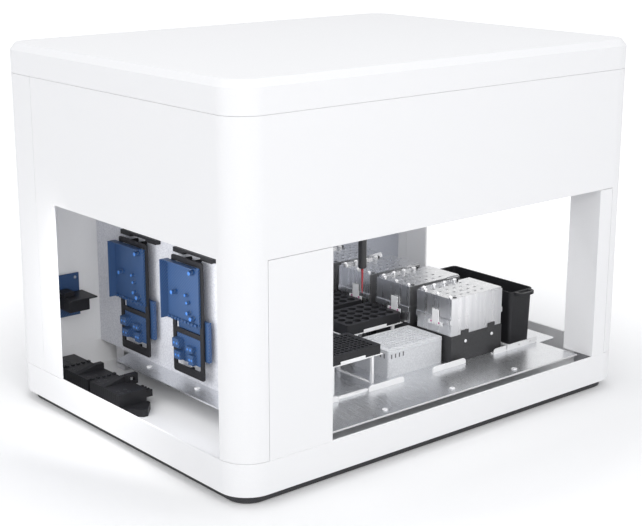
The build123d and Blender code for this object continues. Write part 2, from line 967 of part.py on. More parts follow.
def make_module_cover(row):
    """Silver cover block: rows of blind holes, three pins, a raised comb at the rear edge."""
    x0, x1 = column_c, column_c + slide_length
    y0 = module_front(row)
    y1 = y0 + slide_depth
    bottom = deck_top + module_base_height + module_body_height
    top = bottom + module_cover_height
    step_x = x0 + module_cover_step_start
    step_z = top - module_cover_step
    cover = block(x0, x1, y0, y1, bottom, top)
    step = block(step_x, x1 + over, y0 - over, y0 + module_cover_step, step_z, top + over)
    rear_step = block(step_x, x1 + over, y1 - module_cover_rear_step, y1 + over, step_z, top + over)
    centre_x = x0 + cover_hole_inset + cover_hole_pitch_x * (cover_hole_columns - 1) / 2
    centre_y = (y0 + y1) / 2 - cover_hole_shift
    holes = []
    for px, py in grid(cover_hole_columns, cover_hole_rows, cover_hole_pitch_x,
                       cover_hole_pitch_y, centre_x, centre_y):
        holes.append(rod(px, py, top - cover_hole_depth, top + over, cover_hole_diameter))
    cover = cover - step - rear_step - group(holes)
    comb_y1 = y1 - cover_comb_from_rear
    pieces = [cover, block(x0 + cover_comb_start, x0 + cover_comb_end, comb_y1 - cover_comb_depth,
                           comb_y1, top, top + cover_comb_height)]
    for index in range(3):
        pin_y = y0 + cover_pin_start + index * cover_pin_pitch
        pieces.append(rod(x0 + cover_pin_inset, pin_y, top, top + cover_pin_height,
                          cover_pin_diameter))
    for index in range(4):
        pin_x = x0 + cover_latch_start + index * cover_latch_pitch
        pieces.append(rod(pin_x, y1 - cover_latch_from_rear, top, top + cover_latch_height,
                          cover_pin_diameter))
    return join(pieces)


def make_module_clips():
    """Thin pale clips on the left of each flange: an upright, and a wide toothed foot."""
    clips = []
    x1 = column_c - module_flange_reach
    x0 = x1 - clip_thickness
    seam = deck_top + module_base_height + module_body_height
    foot_top = seam - module_flange_height + clip_overlap
    foot_bottom = foot_top - clip_foot_height
    half = clip_foot_width / 2
    tooth_pitch = clip_foot_width / (clip_teeth + 1)
    for row in range(row_count):
        y = module_front(row) + clip_from_front
        upright = block(x0, x1, y - clip_width / 2, y + clip_width / 2, foot_top,
                        seam + clip_rise)
        foot = block(x0, x1, y - half, y + half, foot_bottom, foot_top)
        gaps = []
        for tooth in range(clip_teeth):
            gap_y = y - half + (tooth + 1) * tooth_pitch
            gaps.append(block(x0 - over, x1 + over, gap_y - clip_tooth_gap / 2,
                              gap_y + clip_tooth_gap / 2, foot_bottom - over,
                              foot_bottom + clip_foot_height / 2))
        clips.append(cut(upright + foot, gaps))
    return group(clips)


def module_screw_places():
    """X of the two screws and tabs on the front of each black base."""
    centre = column_c + base_screw_centre
    return [centre - base_screw_spacing / 2, centre + base_screw_spacing / 2]


def make_module_screws():
    """Round screw heads on the front of each black base."""
    heads = []
    z = deck_top + module_base_height - base_screw_drop
    for row in range(row_count):
        y1 = module_front(row) - module_base_sheet
        for x in module_screw_places():
            heads.append(rod_y(x, z, y1 - base_screw_head, y1, base_screw_diameter))
    return group(heads)


# ---------------------------------------------------------------- waste bin


def bin_box():
    x0 = left + bin_start
    y0 = row_front[0] - bin_front_offset
    return x0, x0 + bin_length, y0, y0 + bin_depth


def make_waste_bin():
    """Open tapered bin with a lip at its front."""
    x0, x1, y0, y1 = bin_box()
    bottom = deck_top + bracket_sheet
    top = bottom + bin_height
    low = Pos((x0 + x1) / 2, (y0 + y1) / 2, bottom)
    high = Pos((x0 + x1) / 2, (y0 + y1) / 2, top)
    low_in = Pos(0, 0, bin_wall) * low
    wide, deep = x1 - x0, y1 - y0
    narrow, short = wide - 2 * bin_taper, deep - 2 * bin_taper
    wall = 2 * bin_wall
    outer = loft([low * RectangleRounded(narrow, short, bin_corner - bin_wall),
                  high * RectangleRounded(wide, deep, bin_corner)], ruled=True)
    inner = loft([low_in * RectangleRounded(narrow - wall, short - wall, bin_corner - wall),
                  high * RectangleRounded(wide - wall, deep - wall, bin_corner - bin_wall)],
                 ruled=True)
    middle = (x0 + x1) / 2
    lip = block(middle - bin_lip_width / 2, middle + bin_lip_width / 2, y0 - bin_lip_reach,
                y0 + bin_wall / 2, top - bin_rim_height, top)
    rounded_lip = fillet(lip.edges().filter_by(Axis.Z).group_by(Axis.Y)[0], bin_lip_corner)
    slot = rounded_slab(middle - bin_lip_width / 2 + bin_lip_bar,
                        middle + bin_lip_width / 2 - bin_lip_bar,
                        y0 - bin_lip_reach + bin_lip_bar, y0 - bin_wall,
                        top - bin_rim_height - over, top + over, bin_lip_hole_corner)
    return outer + (rounded_lip - slot) - inner


def make_bin_bracket():
    """Sheet tray under the bin, with a holed strip along its front."""
    x0, x1, y0, y1 = bin_box()
    strip_y = row_front[0] - tab_setback
    sheet = bracket_sheet
    floor = block(x0, x1, strip_y, y1, deck_top, deck_top + sheet)
    strip_x = x0 - bracket_reach_left
    strip = block(strip_x, opening_right - bracket_from_jamb, strip_y,
                  strip_y + sheet, deck_top, deck_top + bracket_height)
    tab_x1 = strip_x - bracket_tab_gap
    tab = block(tab_x1 - bracket_tab_length, tab_x1, strip_y, strip_y + sheet,
                deck_top, deck_top + bracket_height)
    tab = fillet(tab.edges().filter_by(Axis.Y).group_by(Axis.Z)[-1].sort_by(Axis.X)[0], tab_corner)
    foot = block(tab_x1 - bracket_tab_length, x0, strip_y + sheet / 2, strip_y + bracket_foot,
                 deck_top, deck_top + sheet)
    rear = block(x0, x1, y1 + seat_gap, y1 + seat_gap + sheet, deck_top, deck_top + bracket_height)
    rear_floor = block(x0, x1, y1, y1 + seat_gap, deck_top, deck_top + sheet)
    holes = []
    for index in range(bracket_hole_count):
        x = x0 + bracket_hole_start + index * bracket_hole_pitch
        holes.append(rod_y(x, deck_top + bracket_hole_rise, strip_y - over, strip_y + sheet + over,
                           bracket_hole_diameter))
    return cut(join([floor, foot, strip, tab, rear_floor, rear]), holes)


# ---------------------------------------------------------------- left bay


def board_front(index):
    """Y of the near edge of a board frame."""
    return front + board_frame_start + index * board_frame_pitch


def board_frame_face():
    """X of the frames' outer face."""
    return partition_left - board_frame_stand - board_frame_thickness


def frame_bottom():
    return deck_top + board_frame_rise


def make_board_frames():
    """Black frames with an upper and a lower window, on studs from the partition."""
    frames = []
    border = board_frame_border
    for index in range(2):
        x0 = board_frame_face()
        x1 = x0 + board_frame_thickness
        y0 = board_front(index)
        y1 = y0 + board_frame_width
        z0 = frame_bottom()
        z1 = z0 + board_frame_height
        crossbar = z0 + board_crossbar_rise
        outer = block(x0, x1, y0, y1, z0, z1)
        lower = block(x0 - over, x1 + over, y0 + border, y1 - border, z0 + 1.5 * border, crossbar)
        upper = block(x0 - over, x1 + over, y0 + border, y1 - border,
                      crossbar + board_crossbar_height, z1 - border)
        frame = outer - lower - upper
        corners = frame.edges().filter_by(Axis.X).group_by(Axis.Z)
        frame = fillet(corners[0] + corners[-1], board_frame_corner)
        studs = []
        for y in (y0 + board_stud_inset, y1 - board_stud_inset):
            for z in (z0 + border / 2, z1 - border / 2):
                studs.append(rod_x(y, z, x1, partition_left, board_stud_diameter))
        frames.append(join([frame] + studs))
    return group(frames)


def make_board_hangers():
    """Bars on the partition above each frame, each with a notch below its middle."""
    bars = []
    x0 = partition_left - hanger_depth
    for index in range(2):
        middle = board_front(index) + hanger_middle
        z0 = frame_bottom() + board_frame_height + hanger_gap
        bar = block(x0, partition_left, middle - hanger_length / 2, middle + hanger_length / 2,
                    z0, z0 + hanger_height)
        notch = block(x0 - over, partition_left - hanger_notch_wall,
                      middle - hanger_notch_length / 2, middle + hanger_notch_length / 2,
                      z0 - over, z0 + hanger_notch_height)
        bars.append(bar - notch)
    return group(bars)


def raised_pieces(table, x_face, y_edge, z_edge):
    """Boxes that stand out from a board's face, from a table of their places."""
    return [block(x_face - deep, x_face, y_edge + dy, y_edge + dy + wide, z_edge + dz,
                  z_edge + dz + tall) for dy, dz, wide, tall, deep in table]


def make_driver_boards():
    """Blue trays on the upper half of each frame: sheet, top and rear flanges, small bosses."""
    boards = []
    for index in range(2):
        x1 = board_frame_face()
        x0 = x1 - board_sheet
        y0 = board_front(index) + driver_board_start
        y1 = board_front(index) + board_frame_width + driver_board_past_frame
        z1 = frame_bottom() + board_frame_height - driver_board_drop
        z0 = z1 - driver_board_height
        pieces = [block(x0, x1, y0, y1, z0, z1)]
        pieces.append(block(x1 - driver_board_flange, x0, y1 - board_sheet, y1, z0, z1))
        pieces.append(block(x1 - driver_board_top_reach, x0, y0 + driver_board_top_start,
                            y1 - board_sheet, z1 - board_sheet, z1))
        boards.append(join(pieces + raised_pieces(driver_bosses, x0, y0, z0)))
    return group(boards)


def make_io_boards():
    """Blue boards in the lower window of each frame, with raised blocks, and backing boards."""
    boards = []
    inset = board_frame_border + io_board_gap
    for index in range(2):
        x1 = board_frame_face() + board_frame_thickness
        x0 = x1 - board_sheet
        y0 = board_front(index) + inset
        y1 = board_front(index) + board_frame_width - inset
        z0 = frame_bottom() + io_board_rise
        z1 = frame_bottom() + board_crossbar_rise - io_board_top_gap
        backing_x0 = x1 + io_backing_gap
        backing_x1 = backing_x0 + io_backing_thickness
        pieces = [block(x0, x1, y0, y1, z0, z1)] + raised_pieces(io_blocks, x0, y0, z0)
        backing_z0 = frame_bottom() + io_backing_rise
        pieces.append(block(backing_x0, backing_x1, board_front(index) - io_backing_ahead, y1,
                            backing_z0, backing_z0 + io_backing_height))
        stud_y, stud_z = y0 + io_stud_start, backing_z0 + io_stud_rise
        for stud_x0, stud_x1 in ((x1, backing_x0), (backing_x1, partition_left)):
            pieces.append(block(stud_x0, stud_x1, stud_y, stud_y + io_stud_size,
                                stud_z, stud_z + io_stud_size))
        boards.append(join(pieces))
    return group(boards)


def rear_board_face():
    """Y of the rear board's face towards the bay."""
    return wall_inside_back - rear_board_stand - board_sheet


def make_rear_board():
    """Blue board on studs from the rear cover."""
    x0 = left + rear_board_from_left
    x1 = x0 + rear_board_width
    z0 = tray_rim + rear_board_rise
    z1 = z0 + rear_board_height
    y0 = rear_board_face()
    y1 = y0 + board_sheet
    board = block(x0, x1, y0, y1, z0, z1)
    hole = rod_y(x1 - rear_board_hole_inset, z1 - rear_board_hole_inset, y0 - over, y1 + over,
                 rear_board_hole)
    studs = []
    for x in (x0 + rear_stud_inset, x1 - rear_stud_right_inset):
        for z in (z0 + rear_stud_inset, z1 - rear_stud_inset):
            studs.append(rod_y(x, z, y1, wall_inside_back, rear_stud_diameter))
    return join([board - hole] + studs)


def make_rear_module():
    """Black block on the rear board, with a flat plate and a small cap on top."""
    x0 = left + rear_board_from_left + rear_module_start
    y1 = rear_board_face()
    z0 = tray_rim + rear_board_rise + rear_module_rise
    z1 = z0 + rear_module_sheet
    block_x = x0 + rear_module_inset
    cap_y1 = y1 - rear_module_inset
    plate = block(x0, x0 + rear_module_plate, y1 - rear_module_plate, y1, z0, z1)
    body = block(block_x, block_x + rear_module_width, y1 - rear_module_depth, y1,
                 z0 - rear_module_height, z0)
    cap = block(block_x, block_x + rear_cap_width, cap_y1 - rear_cap_depth, cap_y1, z1,
                z1 + rear_cap_height)
    return plate + body + cap


def train_ridge(x0, x1, y, top):
    """A wall across the train that rises towards its right end."""
    points = [(x0, top), (x1, top), (x1, top + train_ridge_height),
              (x1 - train_ridge_flat, top + train_ridge_height)]
    outline = make_face(Polyline([(x, y, z) for x, z in points], close=True))
    return extrude(outline, train_ridge_thickness, dir=(0, 1, 0))


def make_terminal_train():
    """Row of black connector modules along the bay floor, with a pointed nose at its front."""
    x0 = left + train_from_left
    x1 = x0 + train_width
    y0 = front + train_front
    y_body = y0 + train_nose_length
    z0 = tray_inside
    top = z0 + train_height
    body = block(x0, x1, y_body, y0 + train_length, z0, top)
    tip_x = x0 + train_nose_tip
    nose_x1 = x1 + train_nose_past_body
    nose_points = [(x0, y_body), (x0, y_body - train_nose_left), (tip_x, y0),
                   (tip_x + train_nose_tip_width, y0), (nose_x1, y0 + train_nose_right),
                   (nose_x1, y_body)]
    nose = extrude(make_face(Polyline(nose_points, close=True)), train_nose_height, dir=(0, 0, 1))
    pieces = [body, Pos(0, 0, z0) * nose]
    notches = []
    tooth_pitch = train_width / train_tooth_count
    for index in range(train_module_count):
        ridge_y = y0 + train_ridge_start + index * train_module_pitch
        pieces.append(train_ridge(x0, x1, ridge_y, top))
        y = y0 + train_module_start + index * train_module_pitch
        notches.append(block(x0 - over, x0 + train_notch_depth, y, y + train_notch_width,
                             z0 + train_nose_height, top + over))
        for tooth in range(train_tooth_count):
            tooth_x = x0 + (tooth + 0.5) * tooth_pitch
            pieces.append(block(tooth_x, tooth_x + train_tooth_width, y, y + train_tooth_depth,
                                top, top + train_tooth_height))
    plug_y = y0 + train_plug_start
    plug_top = top - train_plug_drop
    pieces.append(block(x1, x1 + train_plug_reach, plug_y, plug_y + train_plug_length,
                        plug_top - train_plug_height, plug_top))
    plug_pitch = train_plug_length / train_plug_tooth_count
    for tooth in range(train_plug_tooth_count):
        tooth_y = plug_y + tooth * plug_pitch
        pieces.append(block(x1, x1 + train_plug_reach, tooth_y, tooth_y + train_plug_tooth_width,
                            plug_top, plug_top + train_plug_tooth_height))
    loop_x0 = x1 - train_loop_width / 2
    loop_x1 = loop_x0 + train_loop_width
    loop_y0 = y0 + train_loop_start
    loop_y1 = loop_y0 + train_loop_depth
    loop_z0 = top - train_loop_rise
    loop_top = loop_z0 + train_loop_height
    loop = block(loop_x0, loop_x1, loop_y0, loop_y1, loop_z0, loop_top)
    eye = block(loop_x0 + train_loop_bar, loop_x1 - train_loop_bar, loop_y0 - over, loop_y1 + over,
                top + seat_gap, loop_top - train_loop_roof)
    return cut(join(pieces + [loop - eye]), notches)


# ---------------------------------------------------------------- gantry frame


def post_left():
    return partition_left - post_from_partition - tube_size


def post_right():
    return opening_right + shell_wall + post_from_jamb


def beam_front():
    return front + post_setback


def beam_rear():
    return back_wall_rear + beam_over_service


def make_gantry_posts():
    """Four posts from the tray up to the beams; the rear left one stands right of the partition."""
    posts = []
    rear_left = partition_right + post_from_partition
    for x, y in ((post_left(), beam_front()), (post_right(), beam_front()),
                 (rear_left, beam_rear()), (post_right(), beam_rear())):
        posts.append(block(x, x + tube_size, y, y + tube_size, tray_inside, beam_bottom()))
    return group(posts)


def make_gantry_beams():
    """Front and rear beams with a cross beam at each end, and the idler's axle."""
    z0, z1 = beam_bottom(), beam_top()
    x0, x1 = post_left(), post_right() + tube_size
    y_front, y_rear = beam_front() + tube_size, beam_rear()
    axle_x, axle_y = idler_axis()
    axle = rod(axle_x, axle_y, z1, z1 + belt_rise + pulley_height, idler_axle_diameter)
    beams = [block(x0, x1, beam_front(), y_front, z0, z1)]
    beams.append(block(x0, x1, y_rear, y_rear + tube_size, z0, z1) + axle)
    beams.append(block(x0, x0 + tube_size, y_front, y_rear, z0, z1))
    beams.append(block(x1 - tube_size, x1, y_front, y_rear, z0, z1))
    return group(beams)


def rail_z():
    """Middle height of the X rails."""
    return beam_top() - rail_below_beam_top - rail_width / 2


def make_x_rails():
    x0, x1 = post_left() + tube_size, post_right()
    z0, z1 = rail_z() - rail_width / 2, rail_z() + rail_width / 2
    front_rail = block(x0, x1, beam_front() + tube_size, beam_front() + tube_size + rail_depth,
                       z0, z1)
    rear_rail = block(x0, x1, beam_rear() - rail_depth, beam_rear(), z0, z1)
    return group([front_rail, rear_rail])


# ---------------------------------------------------------------- bridge


def nozzle_x():
    return left + nozzle_x_from_left


def nozzle_y():
    return front + nozzle_y_from_front


def head_left():
    """X of the head block's face on the mast rail."""
    return nozzle_x() - nozzle_offset


def mast_right():
    return head_left() - rail_depth + head_over_rail


def carriage_right():
    return mast_right() - mast_thickness


def bridge_right():
    return carriage_right() - carriage_thickness - rail_depth + carriage_over_rail


def bridge_left():
    return bridge_right() - bridge_width


def bridge_top():
    return rail_z() - rail_width / 2 - running_gap - truck_floor


def bridge_bottom():
    return bridge_top() - bridge_height


def bridge_start():
    return beam_front() + tube_size + bridge_front_gap


def bridge_end():
    return beam_rear() - bridge_rear_gap


def y_rod_axis():
    return carriage_right() - carriage_thickness / 2, bridge_bottom() + y_rod_rise


def make_bridge_beam():
    """Box beam with an ear at each end that holds the Y screw."""
    y0, y1 = bridge_start(), bridge_end()
    z0, z1 = bridge_bottom(), bridge_top()
    outer = block(bridge_left(), bridge_right(), y0, y1, z0, z1)
    inner = block(bridge_left() + bridge_wall, bridge_right() - bridge_wall, y0 - over, y1 + over,
                  z0 + bridge_wall, z1 - bridge_wall)
    rod_x_at, rod_z_at = y_rod_axis()
    bore = rod_y(rod_x_at, rod_z_at, y0 - over, y1 + over, screw_rod_diameter + 2 * shaft_gap)
    ear_x = carriage_right() - running_gap
    front_ear = block(bridge_right(), ear_x, y0, y0 + bridge_ear, z0, z1)
    rear_ear = block(bridge_right(), ear_x, y1 - bridge_ear, y1, z0, z1)
    return (outer - inner) + (front_ear - bore) + (rear_ear - bore)


def truck_top():
    return rail_z() + rail_width / 2 + running_gap + truck_roof


def truck_block(y0, y1, rail_y0, rail_y1):
    """A block that hooks around an X rail with a running gap."""
    centre = (bridge_left() + bridge_right()) / 2
    x0, x1 = centre - truck_length / 2, centre + truck_length / 2
    gap = running_gap
    body = block(x0, x1, y0, y1, bridge_top(), truck_top())
    channel = block(x0 - over, x1 + over, rail_y0 - gap, rail_y1 + gap,
                    rail_z() - rail_width / 2 - gap, rail_z() + rail_width / 2 + gap)
    return body - channel


def make_bridge_trucks():
    """Front truck, and rear truck with an arm that hooks over the near run of the belt."""
    front_face = beam_front() + tube_size
    rear_face = beam_rear()
    gap = running_gap
    front_truck = truck_block(front_face + gap, front_face + truck_depth, front_face - over,
                              front_face + rail_depth)
    rear_truck = truck_block(rear_face - truck_depth, rear_face - gap, rear_face - rail_depth,
                             rear_face + over)
    centre = (bridge_left() + bridge_right()) / 2
    x0, x1 = centre - belt_arm_width / 2, centre + belt_arm_width / 2
    belt_y1 = pulley_axis()[1] - pulley_radius - gap
    belt_y0 = belt_y1 - belt_thickness
    belt_z0 = beam_top() + belt_rise
    belt_z1 = belt_z0 + belt_width
    arm_top = belt_z1 + gap + belt_arm_cap
    far_y0 = belt_y1 + gap
    near = block(x0, x1, rear_face - belt_arm_root, belt_y0 - gap, truck_top(), arm_top)
    cap = block(x0, x1, belt_y0 - gap, far_y0 + belt_arm_wall, belt_z1 + gap, arm_top)
    far = block(x0, x1, far_y0, far_y0 + belt_arm_wall, belt_z0, belt_z1 + gap)
    return group([front_truck, join([rear_truck, near, cap, far])])


def pulley_axis():
    return post_left() - motor_size / 2 - motor_from_post, beam_rear() + tube_size / 2


def idler_axis():
    return post_right() + tube_size / 2, beam_rear() + tube_size / 2


def motor_plate_top():
    return beam_top() + motor_plate_thickness


def make_x_motor():
    """Motor hung under a plate that is fixed on the rear beam's left end."""
    x, y = pulley_axis()
    half = motor_size / 2
    z1 = beam_top()
    body = block(x - half, x + half, y - half, y + half, z1 - motor_length, z1)
    body = chamfer(body.edges().filter_by(Axis.Z), motor_chamfer)
    plate = block(x - half - motor_plate_rim, post_left() + tube_size, y - tube_size / 2,
                  y + tube_size / 2, z1, motor_plate_top())
    bore = rod(x, y, z1 - motor_shaft_length - end_gap, motor_plate_top() + over,
               motor_shaft_diameter + 2 * shaft_gap)
    return body + plate - bore


def pulley_bottom():
    """Z of the toothed wheels' lower end, a little under the belt."""
    return beam_top() + belt_rise - (pulley_height - belt_width) / 2


def make_x_pulley():
    x, y = pulley_axis()
    z0 = pulley_bottom()
    hub_bottom = motor_plate_top() + end_gap
    wheel = rod(x, y, z0, z0 + pulley_height, 2 * pulley_radius)
    disc = rod(x, y, z0 - pulley_flange, z0, 2 * (pulley_radius + pulley_flange_reach))
    hub = rod(x, y, hub_bottom, z0 - pulley_flange, pulley_hub_diameter)
    shaft = rod(x, y, beam_top() - motor_shaft_length, hub_bottom, motor_shaft_diameter)
    return join([wheel, disc, hub, shaft])


def make_x_idler():
    x, y = idler_axis()
    z0 = pulley_bottom()
    wheel = rod(x, y, z0, z0 + pulley_height, 2 * pulley_radius)
    disc = rod(x, y, beam_top() + end_gap, z0, 2 * (pulley_radius + pulley_flange_reach))
    bore = rod(x, y, beam_top(), z0 + pulley_height + over, idler_axle_diameter + 2 * shaft_gap)
    return wheel + disc - bore


def make_x_belt():
    xa, y = pulley_axis()
    xb = idler_axis()[0]
    z0 = beam_top() + belt_rise
    middle = (xa + xb) / 2
    inner_diameter = 2 * (pulley_radius + running_gap)
    outer_diameter = inner_diameter + 2 * belt_thickness
    outer = Pos(middle, y, z0) * SlotCenterToCenter(xb - xa, outer_diameter)
    inner = Pos(middle, y, z0) * SlotCenterToCenter(xb - xa, inner_diameter)
    return extrude(outer - inner, belt_width, dir=(0, 0, 1))


def y_rail_z():
    return bridge_top() - y_rail_drop


def make_y_rail():
    z = y_rail_z()
    return block(bridge_right(), bridge_right() + rail_depth, bridge_start() + bridge_ear,
                 bridge_end() - bridge_ear, z - rail_width / 2, z + rail_width / 2)


def make_y_motor():
    x, z = y_rod_axis()
    half = small_motor_size / 2
    y0 = bridge_end()
    body = block(x - half, x + half, y0, y0 + small_motor_length, z - half, z + half)
    body = chamfer(body.edges().filter_by(Axis.Y), small_motor_chamfer)
    return body - rod_y(x, z, y0 - over, y0 + motor_shaft_length + end_gap,
                        motor_shaft_diameter + 2 * shaft_gap)


def make_y_screw():
    x, z = y_rod_axis()
    y0, y1 = bridge_start() + end_gap, bridge_end() - end_gap
    main = rod_y(x, z, y0, y1, screw_rod_diameter)
    shaft = rod_y(x, z, y1, bridge_end() + motor_shaft_length, motor_shaft_diameter)
    return main + shaft


# ---------------------------------------------------------------- carriage and head


def mast_bottom():
    return bridge_bottom() - mast_below_bridge


def mast_top():
    return mast_bottom() + mast_height


def make_y_carriage():
    """Carriage on the Y rail with an upright mast, a top and a bottom flange."""
    y0 = nozzle_y() - carriage_length / 2
    y1 = nozzle_y() + carriage_length / 2
    z_mid = y_rail_z()
    gap = running_gap
    x0 = bridge_right() + gap
    z1 = bridge_top() - carriage_top_drop
    body = block(x0, carriage_right(), y0, y1, z1 - carriage_height, z1)
    channel = block(x0 - over, bridge_right() + rail_depth + gap, y0 - over, y1 + over,
                    z_mid - rail_width / 2 - gap, z_mid + rail_width / 2 + gap)
    rod_x_at, rod_z_at = y_rod_axis()
    nut = rod_y(rod_x_at, rod_z_at, y0 - over, y1 + over, screw_rod_diameter + 2 * shaft_gap)
    mast = block(carriage_right(), mast_right(), y0, y1, mast_bottom(), mast_top())
    reach = mast_right() + mast_flange_reach
    low = block(mast_right(), reach, nozzle_y() + mast_low_flange_start, y1, mast_bottom(),
                mast_bottom() + mast_flange)
    high = block(mast_right(), reach, y0, y1, mast_top() - mast_flange, mast_top())
    zx, zy = z_rod_axis()
    bore = rod(zx, zy, mast_bottom() - over, mast_top() + over, z_rod_diameter + 2 * shaft_gap)
    return body - channel - nut + mast + (low - bore) + (high - bore)


def z_rod_axis():
    return head_left() + z_rod_offset_x, nozzle_y() + z_rod_offset_y


def make_z_rail():
    z0 = mast_bottom() + mast_flange
    z1 = mast_top() - mast_flange
    return block(mast_right(), mast_right() + rail_depth, nozzle_y() - rail_width / 2,
                 nozzle_y() + rail_width / 2, z0, z1)


def head_bottom():
    return mast_bottom() + mast_flange + head_travel_down + head_stop_gap


def make_head_block():
    """Block on the mast rail that carries the nozzle, with a nut for the upright screw."""
    x0 = mast_right() + running_gap
    x1 = head_left() + head_depth
    y0, y1 = nozzle_y() - head_width / 2, nozzle_y() + head_width / 2
    z0 = head_bottom()
    z1 = z0 + head_height
    gap = running_gap
    body = block(x0, x1, y0, y1, z0, z1)
    body = chamfer(body.edges().filter_by(Axis.Z).group_by(Axis.X)[-1], head_chamfer)
    channel = block(x0 - over, mast_right() + rail_depth + gap, nozzle_y() - rail_width / 2 - gap,
                    nozzle_y() + rail_width / 2 + gap, z0 - over, z1 + over)
    zx, zy = z_rod_axis()
    nut = rod(zx, zy, z0 - over, z1 + over, z_rod_diameter + 2 * shaft_gap)
    return body - channel - nut


def needle_tip():
    return deck_top + needle_tip_above_deck


def make_nozzle():
    """Round tube with a bevelled lower end."""
    z0 = needle_tip() + needle_length
    z1 = z0 + nozzle_bevel_height
    tube = rod(nozzle_x(), nozzle_y(), z1, head_bottom(), nozzle_diameter)
    end = Pos(nozzle_x(), nozzle_y(), (z0 + z1) / 2) * Cone(
        nozzle_diameter / 2 - nozzle_bevel_width, nozzle_diameter / 2, nozzle_bevel_height)
    return tube + end


def make_needle():
    tip = needle_tip()
    return Pos(nozzle_x(), nozzle_y(), tip + needle_length / 2) * Cone(
        needle_tip_diameter / 2, needle_top_diameter / 2, needle_length)


def make_z_motor():
    zx, zy = z_rod_axis()
    half = small_motor_size / 2
    z0 = mast_top()
    body = block(zx - half, zx + half, zy - half, zy + half, z0, z0 + small_motor_length)
    body = chamfer(body.edges().filter_by(Axis.Z), small_motor_chamfer)
    return body - rod(zx, zy, z0 - over, z0 + motor_shaft_length + end_gap,
                      motor_shaft_diameter + 2 * shaft_gap)


def make_z_screw():
    zx, zy = z_rod_axis()
    main = rod(zx, zy, mast_bottom() + end_gap, mast_top() - end_gap, z_rod_diameter)
    shaft = rod(zx, zy, mast_top() - end_gap, mast_top() + motor_shaft_length,
                motor_shaft_diameter)
    return main + shaft


# ---------------------------------------------------------------- services


def make_fan_frames():
    """Square frames with a ring opening, cross struts and a fixed pin for the rotor."""
    frames = []
    half = fan_size / 2
    strut = fan_strut_width / 2
    reach = half - fan_rim / 2
    y1 = wall_inside_back
    y0 = y1 - fan_depth
    y_strut = y1 - fan_strut_depth
    pin_y = y0 + fan_face_gap + fan_hub_wall + end_gap
    for x, z in fan_centres():
        outer = block(x - half, x + half, y0, y1, z - half, z + half)
        outer = fillet(outer.edges().filter_by(Axis.Y), fan_corner)
        ring = outer - rod_y(x, z, y0 - over, y1 + over, fan_size - 2 * fan_rim)
        hub = rod_y(x, z, y_strut, y1, fan_hub_diameter)
        pin = rod_y(x, z, pin_y, y_strut, fan_pin_diameter)
        strut_long = block(x - reach, x + reach, y_strut, y1, z - strut, z + strut)
        strut_tall = block(x - strut, x + strut, y_strut, y1, z - reach, z + reach)
        frames.append(join([ring, strut_long, strut_tall, hub, pin]))
    return group(frames)


def make_fan_rotor(index):
    """Hub with twisted blades, turning on the frame's pin."""
    x, z = fan_centres()[index]
    y1 = wall_inside_back - fan_strut_depth - fan_rear_gap
    y0 = wall_inside_back - fan_depth + fan_face_gap
    hub_radius = fan_hub_diameter / 2
    blade_length = fan_size / 2 - fan_rim - hub_radius + fan_blade_root
    hub = rod_y(x, z, y0, y1, fan_hub_diameter)
    bore = rod_y(x, z, y0 + fan_hub_wall, y1 + over, fan_pin_diameter + 2 * shaft_gap)
    blade = Rot(0, 0, fan_blade_angle) * Box(fan_blade_chord, fan_blade_thickness, blade_length)
    blade = Pos(0, 0, hub_radius - fan_blade_root + blade_length / 2) * blade
    pieces = [hub]
    for number in range(fan_blades):
        turned = Rot(0, 360 / fan_blades * number, 0) * blade
        pieces.append(Pos(x, (y0 + y1) / 2, z) * turned)
    keep = rod_y(x, z, y0, y1, fan_size - 2 * fan_rim - 2 * fan_blade_gap)
    return (join(pieces) & keep) - bore


def make_power_supply():
    """Box on the tray's floor with a row of slots in its top."""
    x0 = left + supply_from_left
    y1 = wall_inside_back - supply_gap
    y0 = y1 - supply_depth
    top = tray_inside + supply_height
    box = block(x0, x0 + supply_width, y0, y1, tray_inside, top)
    pitch = (supply_width - 2 * supply_slot_margin) / (supply_slot_count - 1)
    slots = []
    for index in range(supply_slot_count):
        x = x0 + supply_slot_margin + index * pitch
        slots.append(block(x - supply_slot_width / 2, x + supply_slot_width / 2,
                           y0 + supply_slot_end, y1 - supply_slot_end,
                           top - supply_slot_depth, top + over))
    return cut(box, slots)


def make_power_inlet():
    """Mains inlet with its pins and the switch frame, sunk in the rear cover."""
    x0, z0 = inlet_left(), inlet_bottom()
    gap = seat_gap
    plug = block(x0 + gap, x0 + inlet_width - gap, back - inlet_depth, back - inlet_flange,
                 z0 + gap, z0 + inlet_height - gap)
    flange = block(x0 - inlet_rim, x0 + inlet_width + inlet_rim, back - inlet_flange, back,
                   z0 - inlet_rim, z0 + inlet_height + inlet_rim)
    y_socket = back - socket_depth
    socket = block(x0 + socket_inset, x0 + socket_inset + socket_width, y_socket, back + over,
                   z0 + socket_rise, z0 + socket_rise + socket_height)
    pins = []
    for dx, dz in socket_pin_places:
        pins.append(block(x0 + dx - socket_pin_width / 2, x0 + dx + socket_pin_width / 2,
                          y_socket, y_socket + socket_pin_length,
                          z0 + dz - socket_pin_height / 2, z0 + dz + socket_pin_height / 2))
    pocket = block(rocker_left() - gap, rocker_left() + rocker_width + gap,
                   back - rocker_pocket_depth, back + over, rocker_bottom() - gap,
                   rocker_bottom() + rocker_height + gap)
    y_axis, z_axis = rocker_axis()
    reach = rocker_pin_reach + gap
    pivot = rod_x(y_axis, z_axis, rocker_left() - reach, rocker_left() + rocker_width + reach,
                  rocker_pin_diameter + 2 * shaft_gap)
    return join([cut(plug + flange, [socket, pocket, pivot])] + pins)


def rocker_left():
    return inlet_left() + inlet_width - rocker_inset - rocker_width


def rocker_bottom():
    return inlet_bottom() + (inlet_height - rocker_height) / 2


def rocker_axis():
    """Y and Z of the rocker's pivot."""
    return back - rocker_pivot_depth, rocker_bottom() + rocker_height / 2


